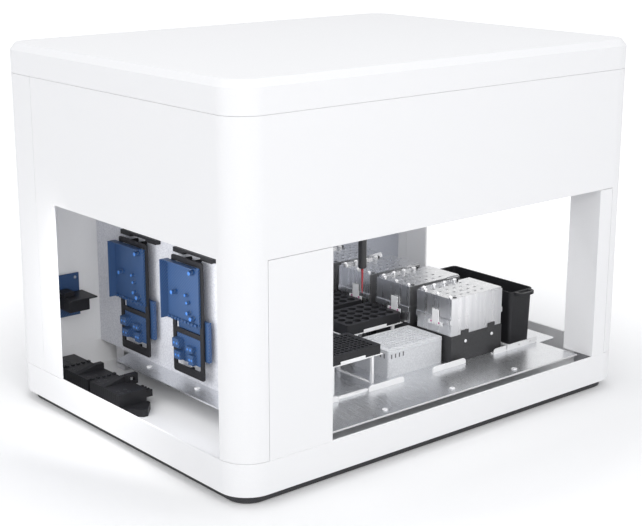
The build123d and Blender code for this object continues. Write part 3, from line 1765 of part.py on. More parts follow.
def make_rocker():
    """Rocker of the power switch with a pivot pin on each side."""
    y_axis, z_axis = rocker_axis()
    x0 = rocker_left()
    half = rocker_height / 2 - rocker_edge_gap
    points = [(y_axis - rocker_heel_depth, z_axis - rocker_heel),
              (y_axis + rocker_edge, z_axis - half), (y_axis + rocker_crest, z_axis),
              (y_axis + rocker_edge, z_axis + half),
              (y_axis - rocker_heel_depth, z_axis + rocker_heel)]
    outline = make_face(Polyline([(x0, y, z) for y, z in points], close=True))
    body = extrude(outline, rocker_width, dir=(1, 0, 0))
    pivot = rod_x(y_axis, z_axis, x0 - rocker_pin_reach, x0 + rocker_width + rocker_pin_reach,
                  rocker_pin_diameter)
    return body + pivot


# ---------------------------------------------------------------- files

write("plinth", make_plinth())
write("feet", make_feet())
write("base_tray", make_base_tray())
write("body_shell", make_body_shell())
write("rear_cover", make_rear_cover())
write("lid", make_lid())
write("fascia_left", make_fascia_left())
write("fascia_right", make_fascia_right())

write("partition", make_partition())
write("back_wall", make_back_wall())
write("deck_plate", make_deck_plate())
write("deck_standoffs", make_deck_standoffs())
write("deck_tabs", make_deck_tabs())
write("panel_screws", group([make_deck_screws(), make_module_screws()]))

write("rack_stands", group([make_stand(column_a, row_front[0]), make_stand(column_b, row_front[1]),
                            make_stand(column_b, row_front[2])]))
write("well_plate", make_well_plate(column_a, row_front[0]))
write("tube_rack_1", make_tube_rack(column_b, row_front[1]))
write("tube_rack_2", make_tube_rack(column_b, row_front[2]))
write("tip_box", make_tip_box(column_b, row_front[0]) + make_tip_grid(column_b, row_front[0]))
write("pipette_tips", make_tips(column_b, row_front[0]))

write("module_bases", group([make_module_base(row) for row in range(row_count)]))
write("module_bodies", group([make_module_body(row) for row in range(row_count)]))
for row in range(row_count):
    write("module_cover_" + str(row + 1), make_module_cover(row))
write("module_clips", make_module_clips())

write("waste_bin", make_waste_bin())
write("bin_bracket", make_bin_bracket())

write("board_frames", make_board_frames())
write("board_hangers", make_board_hangers())
write("driver_boards", make_driver_boards())
write("io_boards", make_io_boards())
write("rear_board", make_rear_board() + make_rear_module())
write("terminal_train", make_terminal_train())

write("gantry_posts", make_gantry_posts())
write("gantry_beams", make_gantry_beams())
write("x_rails", make_x_rails())
write("x_motor", make_x_motor())
write("x_pulley", make_x_pulley())
write("x_idler", make_x_idler())
write("x_belt", make_x_belt())
write("bridge_beam", make_bridge_beam())
write("bridge_trucks", make_bridge_trucks())
write("y_rail", make_y_rail())
write("y_motor", make_y_motor())
write("y_screw", make_y_screw())
write("y_carriage", make_y_carriage())
write("z_rail", make_z_rail())
write("z_motor", make_z_motor())
write("z_screw", make_z_screw())
write("head_block", make_head_block())
write("nozzle", make_nozzle())
write("needle", make_needle())

write("fan_frames", make_fan_frames())
for index in range(2):
    write("fan_rotor_" + str(index + 1), make_fan_rotor(index))
write("power_supply", make_power_supply())
write("power_inlet", make_power_inlet())
write("rocker_switch", make_rocker())
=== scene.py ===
import bpy
import bmesh
import json
import math
from mathutils import Matrix, Vector

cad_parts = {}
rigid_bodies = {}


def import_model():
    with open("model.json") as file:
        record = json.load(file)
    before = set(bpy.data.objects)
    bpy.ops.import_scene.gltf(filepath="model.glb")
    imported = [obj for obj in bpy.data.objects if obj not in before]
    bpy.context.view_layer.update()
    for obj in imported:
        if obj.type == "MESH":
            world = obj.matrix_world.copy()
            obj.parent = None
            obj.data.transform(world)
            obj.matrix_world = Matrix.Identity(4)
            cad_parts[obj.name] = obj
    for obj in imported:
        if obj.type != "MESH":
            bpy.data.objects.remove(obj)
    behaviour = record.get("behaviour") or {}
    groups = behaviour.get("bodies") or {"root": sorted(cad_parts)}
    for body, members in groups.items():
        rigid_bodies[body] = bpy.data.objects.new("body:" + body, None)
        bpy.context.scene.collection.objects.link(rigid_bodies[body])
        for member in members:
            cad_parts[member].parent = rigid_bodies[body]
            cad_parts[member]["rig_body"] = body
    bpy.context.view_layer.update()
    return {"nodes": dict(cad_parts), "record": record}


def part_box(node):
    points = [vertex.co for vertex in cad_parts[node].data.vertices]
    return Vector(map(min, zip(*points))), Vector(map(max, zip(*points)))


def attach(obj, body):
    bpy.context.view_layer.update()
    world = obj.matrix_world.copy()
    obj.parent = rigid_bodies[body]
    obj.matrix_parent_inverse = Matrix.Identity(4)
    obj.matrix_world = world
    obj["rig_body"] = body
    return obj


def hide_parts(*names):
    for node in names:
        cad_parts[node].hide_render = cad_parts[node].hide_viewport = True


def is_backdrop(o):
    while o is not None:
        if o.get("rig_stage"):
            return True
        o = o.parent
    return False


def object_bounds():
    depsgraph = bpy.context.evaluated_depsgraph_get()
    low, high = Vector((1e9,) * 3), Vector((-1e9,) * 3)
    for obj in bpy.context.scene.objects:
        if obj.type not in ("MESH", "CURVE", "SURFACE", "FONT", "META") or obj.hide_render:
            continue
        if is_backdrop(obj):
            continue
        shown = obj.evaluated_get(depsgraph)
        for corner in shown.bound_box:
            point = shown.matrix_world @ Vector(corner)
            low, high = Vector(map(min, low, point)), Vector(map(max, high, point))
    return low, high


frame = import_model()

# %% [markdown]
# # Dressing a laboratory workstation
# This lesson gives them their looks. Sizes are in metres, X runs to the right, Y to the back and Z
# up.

nodes = frame["nodes"]
MM = 0.001

# %% [markdown]
# ## Camera
# A camera is matched to a photograph by its place, its two turns and its focal length. The lens is
# worked out from the focal length in pixels, and a small shift centres the picture as it was
# cropped.

# %% Camera at the photograph's viewpoint
PICTURE_WIDTH = 642
FOCAL_PIXELS = 1412.26
CROP_SHIFT = (0.0129, 0.0015)
CAMERA_PLACE = (-1.5355, -1.8076, 0.8703)
CAMERA_TILT = math.radians(74.879)
CAMERA_HEADING = math.radians(-39.975)
camera_data = bpy.data.cameras.new("camera")
camera_data.sensor_width = 36.0
camera_data.lens = FOCAL_PIXELS * camera_data.sensor_width / PICTURE_WIDTH
camera_data.shift_x = CROP_SHIFT[0]
camera_data.shift_y = CROP_SHIFT[1]
camera_data.clip_end = 50.0
camera = bpy.data.objects.new("camera", camera_data)
camera.location = CAMERA_PLACE
camera.rotation_euler = (CAMERA_TILT, 0.0, CAMERA_HEADING)
bpy.context.scene.collection.objects.link(camera)
bpy.context.scene.camera = camera
print("lens", round(camera_data.lens, 2))

# %% [markdown]
# ## Light
# The machine stands in an even white studio. A white world gives most of the light, so hollows turn
# darker by themselves, and three large soft lamps give the metal something to mirror. Diffuse rays
# meet a slightly dimmer world than the camera sees, which a Light Path node tells apart.

# %% Studio
def math_node(tree, operation, first, second):
    """The result of a math node between two sockets."""
    node = tree.nodes.new("ShaderNodeMath")
    node.operation = operation
    tree.links.new(first, node.inputs[0])
    tree.links.new(second, node.inputs[1])
    return node.outputs[0]


bpy.context.scene.view_settings.view_transform = "Standard"
world = bpy.data.worlds.new("studio")
bpy.context.scene.world = world
world.use_nodes = True
tree = world.node_tree
tree.nodes.clear()
seen = tree.nodes.new("ShaderNodeBackground")
seen.inputs["Color"].default_value = (1.0, 1.0, 1.0, 1.0)
seen.inputs["Strength"].default_value = 1.0
felt = tree.nodes.new("ShaderNodeBackground")
felt.inputs["Color"].default_value = (0.96, 0.97, 1.0, 1.0)
felt.inputs["Strength"].default_value = 0.72
path = tree.nodes.new("ShaderNodeLightPath")
direct = math_node(tree, "MAXIMUM", path.outputs["Is Camera Ray"], path.outputs["Is Glossy Ray"])
direct = math_node(tree, "MAXIMUM", direct, path.outputs["Is Transmission Ray"])
mix = tree.nodes.new("ShaderNodeMixShader")
out = tree.nodes.new("ShaderNodeOutputWorld")
tree.links.new(direct, mix.inputs[0])
tree.links.new(felt.outputs[0], mix.inputs[1])
tree.links.new(seen.outputs[0], mix.inputs[2])
tree.links.new(mix.outputs[0], out.inputs["Surface"])


def soft_lamp(name, place, aim, size, power):
    """A square area lamp that looks at a point."""
    data = bpy.data.lights.new(name, "AREA")
    data.shape = "SQUARE"
    data.size = size
    data.energy = power
    lamp = bpy.data.objects.new(name, data)
    lamp.location = place
    lamp.rotation_euler = (Vector(aim) - Vector(place)).to_track_quat("-Z", "Y").to_euler()
    bpy.context.scene.collection.objects.link(lamp)
    return lamp


soft_lamp("key_lamp", (-0.9, -2.7, 1.9), (0.0, 0.0, 0.25), 2.0, 30.0)
soft_lamp("left_lamp", (-3.1, 0.1, 1.3), (0.0, 0.0, 0.25), 2.0, 14.0)
soft_lamp("top_lamp", (-0.1, 0.2, 3.0), (0.0, 0.0, 0.3), 1.8, 10.0)
print("studio ready")

# %% [markdown]
# ## Light inside the chamber
# The deck and the board bay are bright in the real machine, although the housing shades them. Three
# weak lamps lie in the openings and under the ceiling, and the camera doesn't see them.

# %% Lamps in the openings
def opening_lamp(name, place, aim, wide, tall, power):
    """A rectangular lamp that lights a hollow and is hidden from the camera."""
    lamp = soft_lamp(name, place, aim, wide, power)
    lamp.data.shape = "RECTANGLE"
    lamp.data.size_y = tall
    lamp.visible_camera = False
    lamp.visible_glossy = False


opening_lamp("bay_lamp", (-0.418, -0.05, 0.24), (-0.25, 0.02, 0.16), 0.40, 0.24, 0.62)
opening_lamp("deck_lamp", (0.0, -0.29, 0.30), (0.0, 0.0, 0.15), 0.40, 0.10, 0.38)
opening_lamp("ceiling_lamp", (0.05, 0.0, 0.455), (0.05, 0.001, 0.1), 0.50, 0.40, 1.0)
print("lamps", len(bpy.data.lights))

# %% [markdown]
# ## Floor
# The floor is a plain pale plane that keeps the machine's shadow. It glows a little, and only for
# the camera and for mirror-like surfaces, so that it fades to white away from the machine.

# %% Floor
FLOOR_SIZE = 12.0
GLOW_FROM, GLOW_TO = 0.55, 1.40
GLOW_NEAR, GLOW_FAR = 0.10, 0.62
floor_mesh = bpy.data.meshes.new("floor")
bm = bmesh.new()
bmesh.ops.create_grid(bm, x_segments=1, y_segments=1, size=FLOOR_SIZE)
bm.to_mesh(floor_mesh)
bm.free()
floor = bpy.data.objects.new("floor", floor_mesh)
bpy.context.scene.collection.objects.link(floor)
floor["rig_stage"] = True
floor_material = bpy.data.materials.new("studio_floor")
floor_material.use_nodes = True
tree = floor_material.node_tree
surface = tree.nodes["Principled BSDF"]
surface.inputs["Base Color"].default_value = (0.86, 0.86, 0.86, 1.0)
surface.inputs["Roughness"].default_value = 0.9
surface.inputs["Specular IOR Level"].default_value = 0.0
path = tree.nodes.new("ShaderNodeLightPath")
either = math_node(tree, "MAXIMUM", path.outputs["Is Camera Ray"],
                   path.outputs["Is Glossy Ray"])
place = tree.nodes.new("ShaderNodeTexCoord")
distance = tree.nodes.new("ShaderNodeVectorMath")
distance.operation = "LENGTH"
far = tree.nodes.new("ShaderNodeMapRange")
far.inputs["From Min"].default_value = GLOW_FROM
far.inputs["From Max"].default_value = GLOW_TO
far.inputs["To Min"].default_value = GLOW_NEAR
far.inputs["To Max"].default_value = GLOW_FAR
tree.links.new(place.outputs["Object"], distance.inputs[0])
tree.links.new(distance.outputs["Value"], far.inputs["Value"])
glow = math_node(tree, "MULTIPLY", either, far.outputs["Result"])
surface.inputs["Emission Color"].default_value = (1.0, 1.0, 1.0, 1.0)
tree.links.new(glow, surface.inputs["Emission Strength"])
floor_mesh.materials.append(floor_material)
print("floor ready")

# %% [markdown]
# ## Surface effects as node groups
# Real paint, plastic and metal are never one flat colour. Three effects come back on many parts, so
# each is built once as a node group: a fine grain for paint and moulded plastic, long lines for
# brushed metal, and slanting stripes for the printed tracks of a circuit board. Each group gives out
# only things that change over the surface: a colour, a roughness and a height.

# %% Helpers that make and fill a group
def new_group(name, inputs):
    """A shader group with the given inputs, and outputs Colour, Roughness and Height."""
    group = bpy.data.node_groups.new(name, "ShaderNodeTree")
    for label, kind, value in inputs:
        socket = group.interface.new_socket(name=label, in_out="INPUT", socket_type=kind)
        socket.default_value = value
    group.interface.new_socket(name="Colour", in_out="OUTPUT", socket_type="NodeSocketColor")
    group.interface.new_socket(name="Roughness", in_out="OUTPUT", socket_type="NodeSocketFloat")
    group.interface.new_socket(name="Height", in_out="OUTPUT", socket_type="NodeSocketFloat")
    return group, group.nodes.new("NodeGroupInput"), group.nodes.new("NodeGroupOutput")


COMMON_INPUTS = [
    ("Light", "NodeSocketColor", (0.8, 0.8, 0.8, 1.0)),
    ("Dark", "NodeSocketColor", (0.7, 0.7, 0.7, 1.0)),
    ("Smoothest", "NodeSocketFloat", 0.4),
    ("Roughest", "NodeSocketFloat", 0.5),
    ("Scale", "NodeSocketFloat", 900.0),
    ("Stretch", "NodeSocketVector", (1.0, 1.0, 1.0)),
]


def finish_group(group, source, target, mask, height):
    """Turns one mask into a colour and a roughness, and passes the height on."""
    blend = group.nodes.new("ShaderNodeMix")
    blend.data_type = "RGBA"
    group.links.new(mask, blend.inputs["Factor"])
    group.links.new(source.outputs["Dark"], blend.inputs["A"])
    group.links.new(source.outputs["Light"], blend.inputs["B"])
    rough = group.nodes.new("ShaderNodeMix")
    group.links.new(mask, rough.inputs["Factor"])
    group.links.new(source.outputs["Roughest"], rough.inputs["A"])
    group.links.new(source.outputs["Smoothest"], rough.inputs["B"])
    group.links.new(blend.outputs["Result"], target.inputs["Colour"])
    group.links.new(rough.outputs["Result"], target.inputs["Roughness"])
    group.links.new(height, target.inputs["Height"])


def object_position(group, source):
    """Object coordinates, stretched by the group's Stretch input."""
    place = group.nodes.new("ShaderNodeTexCoord")
    stretch = group.nodes.new("ShaderNodeVectorMath")
    stretch.operation = "MULTIPLY"
    group.links.new(place.outputs["Object"], stretch.inputs[0])
    group.links.new(source.outputs["Stretch"], stretch.inputs[1])
    return stretch.outputs[0]


def noise(group, position, scale, detail):
    """A noise texture whose scale comes from a socket."""
    texture = group.nodes.new("ShaderNodeTexNoise")
    texture.inputs["Detail"].default_value = detail
    group.links.new(position, texture.inputs["Vector"])
    group.links.new(scale, texture.inputs["Scale"])
    return texture.outputs["Fac"]


def contrast(group, value, low, high):
    """Stretches the part of a value between low and high over 0 to 1."""
    spread = group.nodes.new("ShaderNodeMapRange")
    spread.inputs["From Min"].default_value = low
    spread.inputs["From Max"].default_value = high
    group.links.new(value, spread.inputs["Value"])
    return spread.outputs["Result"]


print("group helpers ready")

# %% Fine grain, brushed lines and printed stripes
grain, source, target = new_group("fine_grain", COMMON_INPUTS)
position = object_position(grain, source)
fine = noise(grain, position, source.outputs["Scale"], 2.0)
finish_group(grain, source, target, contrast(grain, fine, 0.35, 0.65), fine)

brushed, source, target = new_group("brushed_lines", COMMON_INPUTS)
position = object_position(brushed, source)
lines = noise(brushed, position, source.outputs["Scale"], 4.0)
finish_group(brushed, source, target, contrast(brushed, lines, 0.30, 0.70), lines)

stripes, source, target = new_group("printed_stripes", COMMON_INPUTS)
position = object_position(stripes, source)
wave = stripes.nodes.new("ShaderNodeTexWave")
wave.wave_type = "BANDS"
wave.bands_direction = "DIAGONAL"
wave.inputs["Distortion"].default_value = 0.6
wave.inputs["Detail"].default_value = 1.0
stripes.links.new(position, wave.inputs["Vector"])
stripes.links.new(source.outputs["Scale"], wave.inputs["Scale"])
thin = contrast(stripes, wave.outputs["Fac"], 0.55, 0.95)
finish_group(stripes, source, target, thin, thin)
print("groups", [g.name for g in bpy.data.node_groups])

# %% [markdown]
# ## Finishes
# One function places a group in a new material and joins it to the shader. Whatever is the same
# all over a surface, such as how metallic it is, is typed straight into the shader.

# %% A helper that makes a finish
FINISHES = {}


def finish(name, group, light, dark, rough, scale, stretch=(1, 1, 1), bump=0.0, **settings):
    """A material with one surface effect; rough is (smoothest, roughest), bump is in metres."""
    material = bpy.data.materials.new(name + "_finish")
    FINISHES[name] = material
    material.use_nodes = True
    tree = material.node_tree
    shader = tree.nodes["Principled BSDF"]
    effect = tree.nodes.new("ShaderNodeGroup")
    effect.node_tree = group
    effect.inputs["Light"].default_value = (*light, 1.0)
    effect.inputs["Dark"].default_value = (*dark, 1.0)
    effect.inputs["Smoothest"].default_value = rough[0]
    effect.inputs["Roughest"].default_value = rough[1]
    effect.inputs["Scale"].default_value = scale
    effect.inputs["Stretch"].default_value = stretch
    tree.links.new(effect.outputs["Colour"], shader.inputs["Base Color"])
    tree.links.new(effect.outputs["Roughness"], shader.inputs["Roughness"])
    if bump:
        relief = tree.nodes.new("ShaderNodeBump")
        relief.inputs["Strength"].default_value = 1.0
        relief.inputs["Distance"].default_value = bump
        tree.links.new(effect.outputs["Height"], relief.inputs["Height"])
        tree.links.new(relief.outputs["Normal"], shader.inputs["Normal"])
    for label, value in settings.items():
        shader.inputs[label.replace("_", " ").title().replace("Ior", "IOR")].default_value = value
    return material


finish("white_shell", grain, (0.90, 0.90, 0.905), (0.87, 0.87, 0.875),
       (0.42, 0.50), 1400.0, bump=0.00002)
finish("white_tray", grain, (0.90, 0.90, 0.905), (0.87, 0.87, 0.875),
       (0.45, 0.55), 1200.0, bump=0.00002)
finish("black_plinth", grain, (0.05, 0.05, 0.055), (0.03, 0.03, 0.033),
       (0.55, 0.7), 800.0, bump=0.00004)
finish("foot_rubber", grain, (0.03, 0.03, 0.03), (0.02, 0.02, 0.02),
       (0.7, 0.85), 600.0, bump=0.00005)
finish("grey_wall", grain, (0.78, 0.79, 0.83), (0.62, 0.63, 0.68),
       (0.5, 0.65), 420.0, bump=0.00003)
finish("deck_metal", brushed, (0.84, 0.85, 0.87), (0.68, 0.69, 0.71),
       (0.24, 0.36), 60.0, (30.0, 1.0, 30.0), bump=0.00002, metallic=0.9)
white_sheet = finish("white_sheet", grain, (0.88, 0.88, 0.885), (0.84, 0.84, 0.845),
                     (0.35, 0.45), 900.0, bump=0.00002)
finish("screw_metal", grain, (0.94, 0.94, 0.95), (0.86, 0.86, 0.87),
       (0.25, 0.35), 700.0, metallic=0.2)
silver_metal = finish("silver_metal", brushed, (0.86, 0.86, 0.87), (0.74, 0.745, 0.76),
                      (0.24, 0.34), 110.0, (1.0, 1.0, 0.05), bump=0.00001, metallic=0.95)
finish("black_metal", grain, (0.045, 0.045, 0.048), (0.03, 0.03, 0.032),
       (0.42, 0.55), 1100.0, bump=0.00003)
finish("pale_plastic", grain, (0.88, 0.88, 0.88), (0.82, 0.82, 0.82),
       (0.4, 0.5), 900.0)
black_plastic = finish("black_plastic", grain, (0.024, 0.024, 0.027), (0.014, 0.014, 0.016),
                       (0.40, 0.52), 1300.0, bump=0.00003, specular_ior_level=0.35)
finish("nozzle_black", grain, (0.022, 0.022, 0.024), (0.014, 0.014, 0.015),
       (0.3, 0.4), 1500.0)
finish("needle_red", grain, (0.34, 0.02, 0.03), (0.25, 0.012, 0.02),
       (0.25, 0.35), 1200.0)
clear_plastic = finish("clear_plastic", grain, (0.66, 0.67, 0.69), (0.56, 0.57, 0.59),
                       (0.35, 0.5), 500.0, bump=0.00004)
board_blue = finish("board_blue", stripes, (0.090, 0.130, 0.200), (0.014, 0.062, 0.190),
                    (0.35, 0.5), 110.0, (1.0, 1.0, -1.0), bump=0.00003)
finish("frame_metal", brushed, (0.72, 0.72, 0.74), (0.62, 0.62, 0.64),
       (0.35, 0.45), 70.0, (1.0, 1.0, 20.0), metallic=0.9)
finish("rail_steel", brushed, (0.60, 0.60, 0.62), (0.50, 0.50, 0.52),
       (0.2, 0.3), 70.0, (1.0, 20.0, 20.0), metallic=1.0)
motor_metal = finish("motor_metal", grain, (0.06, 0.06, 0.065), (0.04, 0.04, 0.043),
                     (0.35, 0.5), 700.0)
finish("pulley_metal", brushed, (0.72, 0.72, 0.74), (0.60, 0.60, 0.62),
       (0.25, 0.35), 90.0, (1.0, 1.0, 10.0), metallic=1.0)
finish("belt_rubber", grain, (0.03, 0.03, 0.03), (0.015, 0.015, 0.015),
       (0.6, 0.8), 900.0)
finish("supply_metal", brushed, (0.55, 0.56, 0.58), (0.45, 0.46, 0.48),
       (0.35, 0.5), 60.0, (20.0, 1.0, 1.0), metallic=1.0)
print("finishes", len(FINISHES))

# %% [markdown]
# ## Finishes on the solids
# The record names a finish for every solid, so one loop dresses them all. A solid is never moved or
# reshaped: it only gets its material.

# %% Dress every solid
for part in frame["record"]["subparts"]:
    mesh = nodes[part["node"]].data
    mesh.materials.clear()
    mesh.materials.append(FINISHES[part["material_slot"]])
print("dressed", len(nodes))

# %% [markdown]
# ## A small kit of shapes
# The little pieces are all made from a box, a ball, a rod or a ring that an operator creates and a
# bevel softens. Each helper adds one shape to a bmesh, so a whole row of teeth is a single object.

# %% Box and ball
def add_box(bm, low, high, edge=0.0, segments=2):
    """A box between two corners, with its edges rounded if asked."""
    made = bmesh.ops.create_cube(bm, size=1.0)["verts"]
    low, high = Vector(low), Vector(high)
    bmesh.ops.scale(bm, vec=high - low, verts=made)
    bmesh.ops.translate(bm, vec=(low + high) / 2, verts=made)
    if edge:
        edges = list({e for v in made for e in v.link_edges})
        bmesh.ops.bevel(bm, geom=edges, offset=edge, offset_type="OFFSET", affect="EDGES",
                        segments=segments, profile=0.5, material=-1, clamp_overlap=True)


def add_ball(bm, centre, radius, flatten=1.0):
    """A ball, pressed flat along Z by a factor."""
    made = bmesh.ops.create_uvsphere(bm, u_segments=20, v_segments=12, radius=radius)["verts"]
    bmesh.ops.scale(bm, vec=(1.0, 1.0, flatten), verts=made)
    bmesh.ops.translate(bm, vec=centre, verts=made)


print("box and ball ready")

# %% Rod and ring
def add_rod(bm, start, end, radius, end_radius=None, segments=24):
    """A rod or cone from one point to another."""
    start, end = Vector(start), Vector(end)
    along = end - start
    made = bmesh.ops.create_cone(bm, cap_ends=True, segments=segments, radius1=radius,
                                 radius2=radius if end_radius is None else end_radius,
                                 depth=along.length)["verts"]
    turn = along.to_track_quat("Z", "Y").to_matrix().to_4x4()
    bmesh.ops.transform(bm, matrix=Matrix.Translation((start + end) / 2) @ turn, verts=made)


def add_ring(bm, centre, inner, outer, height, segments=20):
    """A flat ring lying on a level: a small profile spun once round."""
    x, y, z = centre
    profile = [bm.verts.new((x + r, y, z + h))
               for r, h in ((inner, 0.0), (outer, 0.0), (outer, height), (inner, height))]
    loop = [bm.edges.new((profile[i], profile[(i + 1) % 4])) for i in range(4)]
    bmesh.ops.spin(bm, geom=profile + loop, cent=centre, axis=(0, 0, 1), angle=math.tau,
                   steps=segments, use_merge=True)


print("rod and ring ready")

# %% [markdown]
# ## From bmesh to piece
# Every piece leaves the workshop in the same way: its faces are turned outwards, edges flatter than
# a given angle are shaded smooth, and a weighted-normal modifier keeps large faces looking flat
# beside small roundings. Then it is told which moving body carries it.

# %% The object that holds a shape
def make_piece(name, bm, material, body, smooth_angle=35.0):
    """Closes a bmesh into an object that rides on a body."""
    bmesh.ops.recalc_face_normals(bm, faces=bm.faces)
    mesh = bpy.data.meshes.new(name)
    bm.to_mesh(mesh)
    bm.free()
    mesh.materials.append(material)
    mesh.shade_smooth()
    mesh.set_sharp_from_angle(angle=math.radians(smooth_angle))
    piece = bpy.data.objects.new(name, mesh)
    bpy.context.scene.collection.objects.link(piece)
    weighted = piece.modifiers.new("flat_faces", "WEIGHTED_NORMAL")
    weighted.keep_sharp = True
    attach(piece, body)
    print(name, len(mesh.polygons), "faces")
    return piece


# %% [markdown]
# ## Softened edges
# A solid from a CAD program has edges as sharp as a knife. A moulded cover never has: a bevel well
# under a millimetre catches a thin line of light. The solid's own mesh must stay as it is, so each
# part gets a copy whose loose triangles are merged first, and the copy stands in for the solid.

# %% Copies with rounded edges
def round_edges(bm, width, steepest, segments, above=None):
    """Bevels the edges that turn by more than an angle, all of them or those above a height."""
    edges = [e for e in bm.edges
             if len(e.link_faces) == 2 and e.calc_face_angle(0.0) > math.radians(steepest)
             and (above is None or min(v.co.z for v in e.verts) > above)]
    bmesh.ops.bevel(bm, geom=edges, offset=width, offset_type="OFFSET", affect="EDGES",
                    segments=segments, profile=0.5, material=-1, clamp_overlap=True)


def softened(node, width, segments=2, crown=None, material=None):
    """A merged copy of a solid with its sharp edges bevelled; crown is (height, width)."""
    bm = bmesh.new()
    bm.from_mesh(nodes[node].data)
    bmesh.ops.remove_doubles(bm, verts=bm.verts, dist=0.000002)
    bmesh.ops.dissolve_limit(bm, angle_limit=math.radians(0.5), verts=bm.verts, edges=bm.edges,
                             use_dissolve_boundaries=False, delimit={"NORMAL"})
    if crown:
        round_edges(bm, crown[1], 20.0, 4, crown[0])
    round_edges(bm, width, 30.0, segments)
    look = material or nodes[node].data.materials[0]
    piece = make_piece(node + "_soft", bm, look, nodes[node]["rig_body"],
                       40.0)
    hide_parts(node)


CROWN_ABOVE = 0.585
CROWN_WIDTH = 2.5 * MM
HOUSING_EDGES = {"body_shell": 0.35, "rear_cover": 0.35, "base_tray": 1.2, "plinth": 1.0,
                 "fascia_left": 0.4, "fascia_right": 0.4, "feet": 1.5, "partition": 0.3,
                 "deck_plate": 0.3}
for node, width in HOUSING_EDGES.items():
    softened(node, width * MM)
softened("lid", 0.35 * MM, crown=(CROWN_ABOVE, CROWN_WIDTH))
print("housing softened")

# %% [markdown]
# ## The deck's furniture
# The stands, strips, racks and modules are sheet metal and mouldings too. Their roundings are as
# wide as the sheet or wall allows. Screw heads get a wide rounding, which turns a flat disc into a
# dome.

# %% Rounded edges on everything that stands on the deck
DECK_EDGES = {"deck_tabs": 0.5, "rack_stands": 0.45, "well_plate": 0.35, "tube_rack_1": 0.5,
              "tube_rack_2": 0.5, "tip_box": 0.5, "module_bases": 0.7, "module_bodies": 0.6,
              "module_clips": 0.25, "waste_bin": 0.7, "bin_bracket": 0.35, "deck_standoffs": 0.5}
for node, width in DECK_EDGES.items():
    softened(node, width * MM)
for index in range(1, 5):
    softened("module_cover_%d" % index, 0.5 * MM)
softened("panel_screws", 1.1 * MM, segments=4)
print("deck softened")

# %% Rounded edges in the bay and in the gantry
BAY_EDGES = {"board_frames": 0.4, "board_hangers": 0.5, "io_boards": 0.6, "terminal_train": 0.6,
             "power_inlet": 0.4, "rocker_switch": 0.4, "fan_frames": 0.5, "nozzle": 0.3,
             "head_block": 0.6, "y_carriage": 0.6, "bridge_beam": 0.6, "gantry_beams": 0.8,
             "gantry_posts": 0.8, "power_supply": 0.8, "z_motor": 0.5, "y_motor": 0.5,
             "x_motor": 0.5}
for node, width in BAY_EDGES.items():
    softened(node, width * MM)
print("bay softened")

# %% [markdown]
# ## Finishes for the small details
# A few details have a colour of their own: white knobs, a pink paint dot, near-black plugs, the
# light blue face of a stud and a bright metal grommet. Three finishes here paint shade: the
# near-black one also fills holes and screw recesses, a dark grey one fills the tip box's slots, and
# a darker, bluer copy of the grey wall finish darkens the chamber's back wall.

# %% Detail finishes
# A darker, bluer copy of the grey wall finish; its darkening paints the shade at the back of the
# chamber.
wall_shaded_blue = finish("wall_shaded_blue", grain, (0.60, 0.62, 0.68), (0.46, 0.48, 0.54), (0.45, 0.6),
                   420.0, bump=0.00003)
knob_white = finish("knob_white", grain, (0.93, 0.93, 0.93), (0.88, 0.88, 0.88), (0.25, 0.35),
                    900.0)
dot_pink = finish("dot_pink", grain, (0.55, 0.06, 0.30), (0.45, 0.05, 0.24), (0.4, 0.5), 900.0)
# Near-black for real plugs, also used as painted shade inside holes and screw recesses.
shade_and_plug_black = finish("shade_and_plug_black", grain, (0.012, 0.012, 0.014), (0.008, 0.008, 0.009), (0.5, 0.7),
                   900.0)
stud_bright = finish("stud_bright", brushed, (0.86, 0.87, 0.90), (0.74, 0.75, 0.78), (0.25, 0.35),
                     300.0, metallic=0.7)
stud_blue = finish("stud_blue", grain, (0.085, 0.27, 0.72), (0.05, 0.17, 0.52), (0.25, 0.35),
                   900.0)
# Dark grey for the painted shade inside the tip box's slots.
slot_shade_grey = finish("slot_shade_grey", grain, (0.16, 0.16, 0.17), (0.10, 0.10, 0.11), (0.5, 0.6), 900.0)
# The back wall takes the darker copy as painted shade.
softened("back_wall", 0.3 * MM, material=wall_shaded_blue)
print("detail finishes ready")

# %% [markdown]
# ## Slide modules
# Each silver cover carries white knobs over its pins and latches, a row of small teeth on its comb,
# a dark plug at the comb's end, and a bright rim round every hole. Near-black rods sunk in the holes
# paint the shade inside them. The rims are one profile spun round, and all the knobs of a cover are
# one object, because they move with it.

# %% Where the details of a cover sit
COVER_HEIGHT = 37.0 * MM
HOLE_COLUMNS, HOLE_ROWS = 5, 4
HOLE_PITCH_X, HOLE_PITCH_Y = 17.0 * MM, 17.5 * MM
HOLE_INSET, HOLE_SHIFT = 20.5 * MM, 3.0 * MM
RIM_INNER, RIM_OUTER, RIM_HEIGHT = 2.3 * MM, 3.2 * MM, 0.35 * MM
# Near-black rods inside the holes: painted shade for the depth of the blind holes.
HOLE_SHADE_RADIUS, HOLE_SHADE_BOTTOM, HOLE_SHADE_TOP = 2.28 * MM, 7.9 * MM, 1.6 * MM
PIN_COUNT, PIN_INSET, PIN_START, PIN_PITCH = 3, 4.0 * MM, 7.0 * MM, 30.7 * MM
PIN_KNOB, PIN_RISE, PIN_FLATTEN = 3.2 * MM, 2.4 * MM, 0.85
LATCH_COUNT, LATCH_START, LATCH_PITCH = 4, 8.0 * MM, 25.0 * MM
LATCH_FROM_REAR, LATCH_KNOB, LATCH_RISE, LATCH_FLATTEN = 9.5 * MM, 3.4 * MM, 4.2 * MM, 0.8
TOOTH_COUNT, TOOTH_START, TOOTH_PITCH = 18, 5.5 * MM, 4.9 * MM
TOOTH_FROM_REAR, TOOTH_RADIUS, TOOTH_RISE, TOOTH_FLATTEN = 5.5 * MM, 2.1 * MM, 3.8 * MM, 0.7
PLUG_LOW, PLUG_HIGH, PLUG_EDGE = (91.2, -8.0, -0.5), (95.4, -3.2, 3.8), 0.6
PORT_PLACE, PORT_INNER, PORT_OUTER, PORT_HEIGHT = (12.5, 5.5), 1.9 * MM, 3.4 * MM, 0.5 * MM


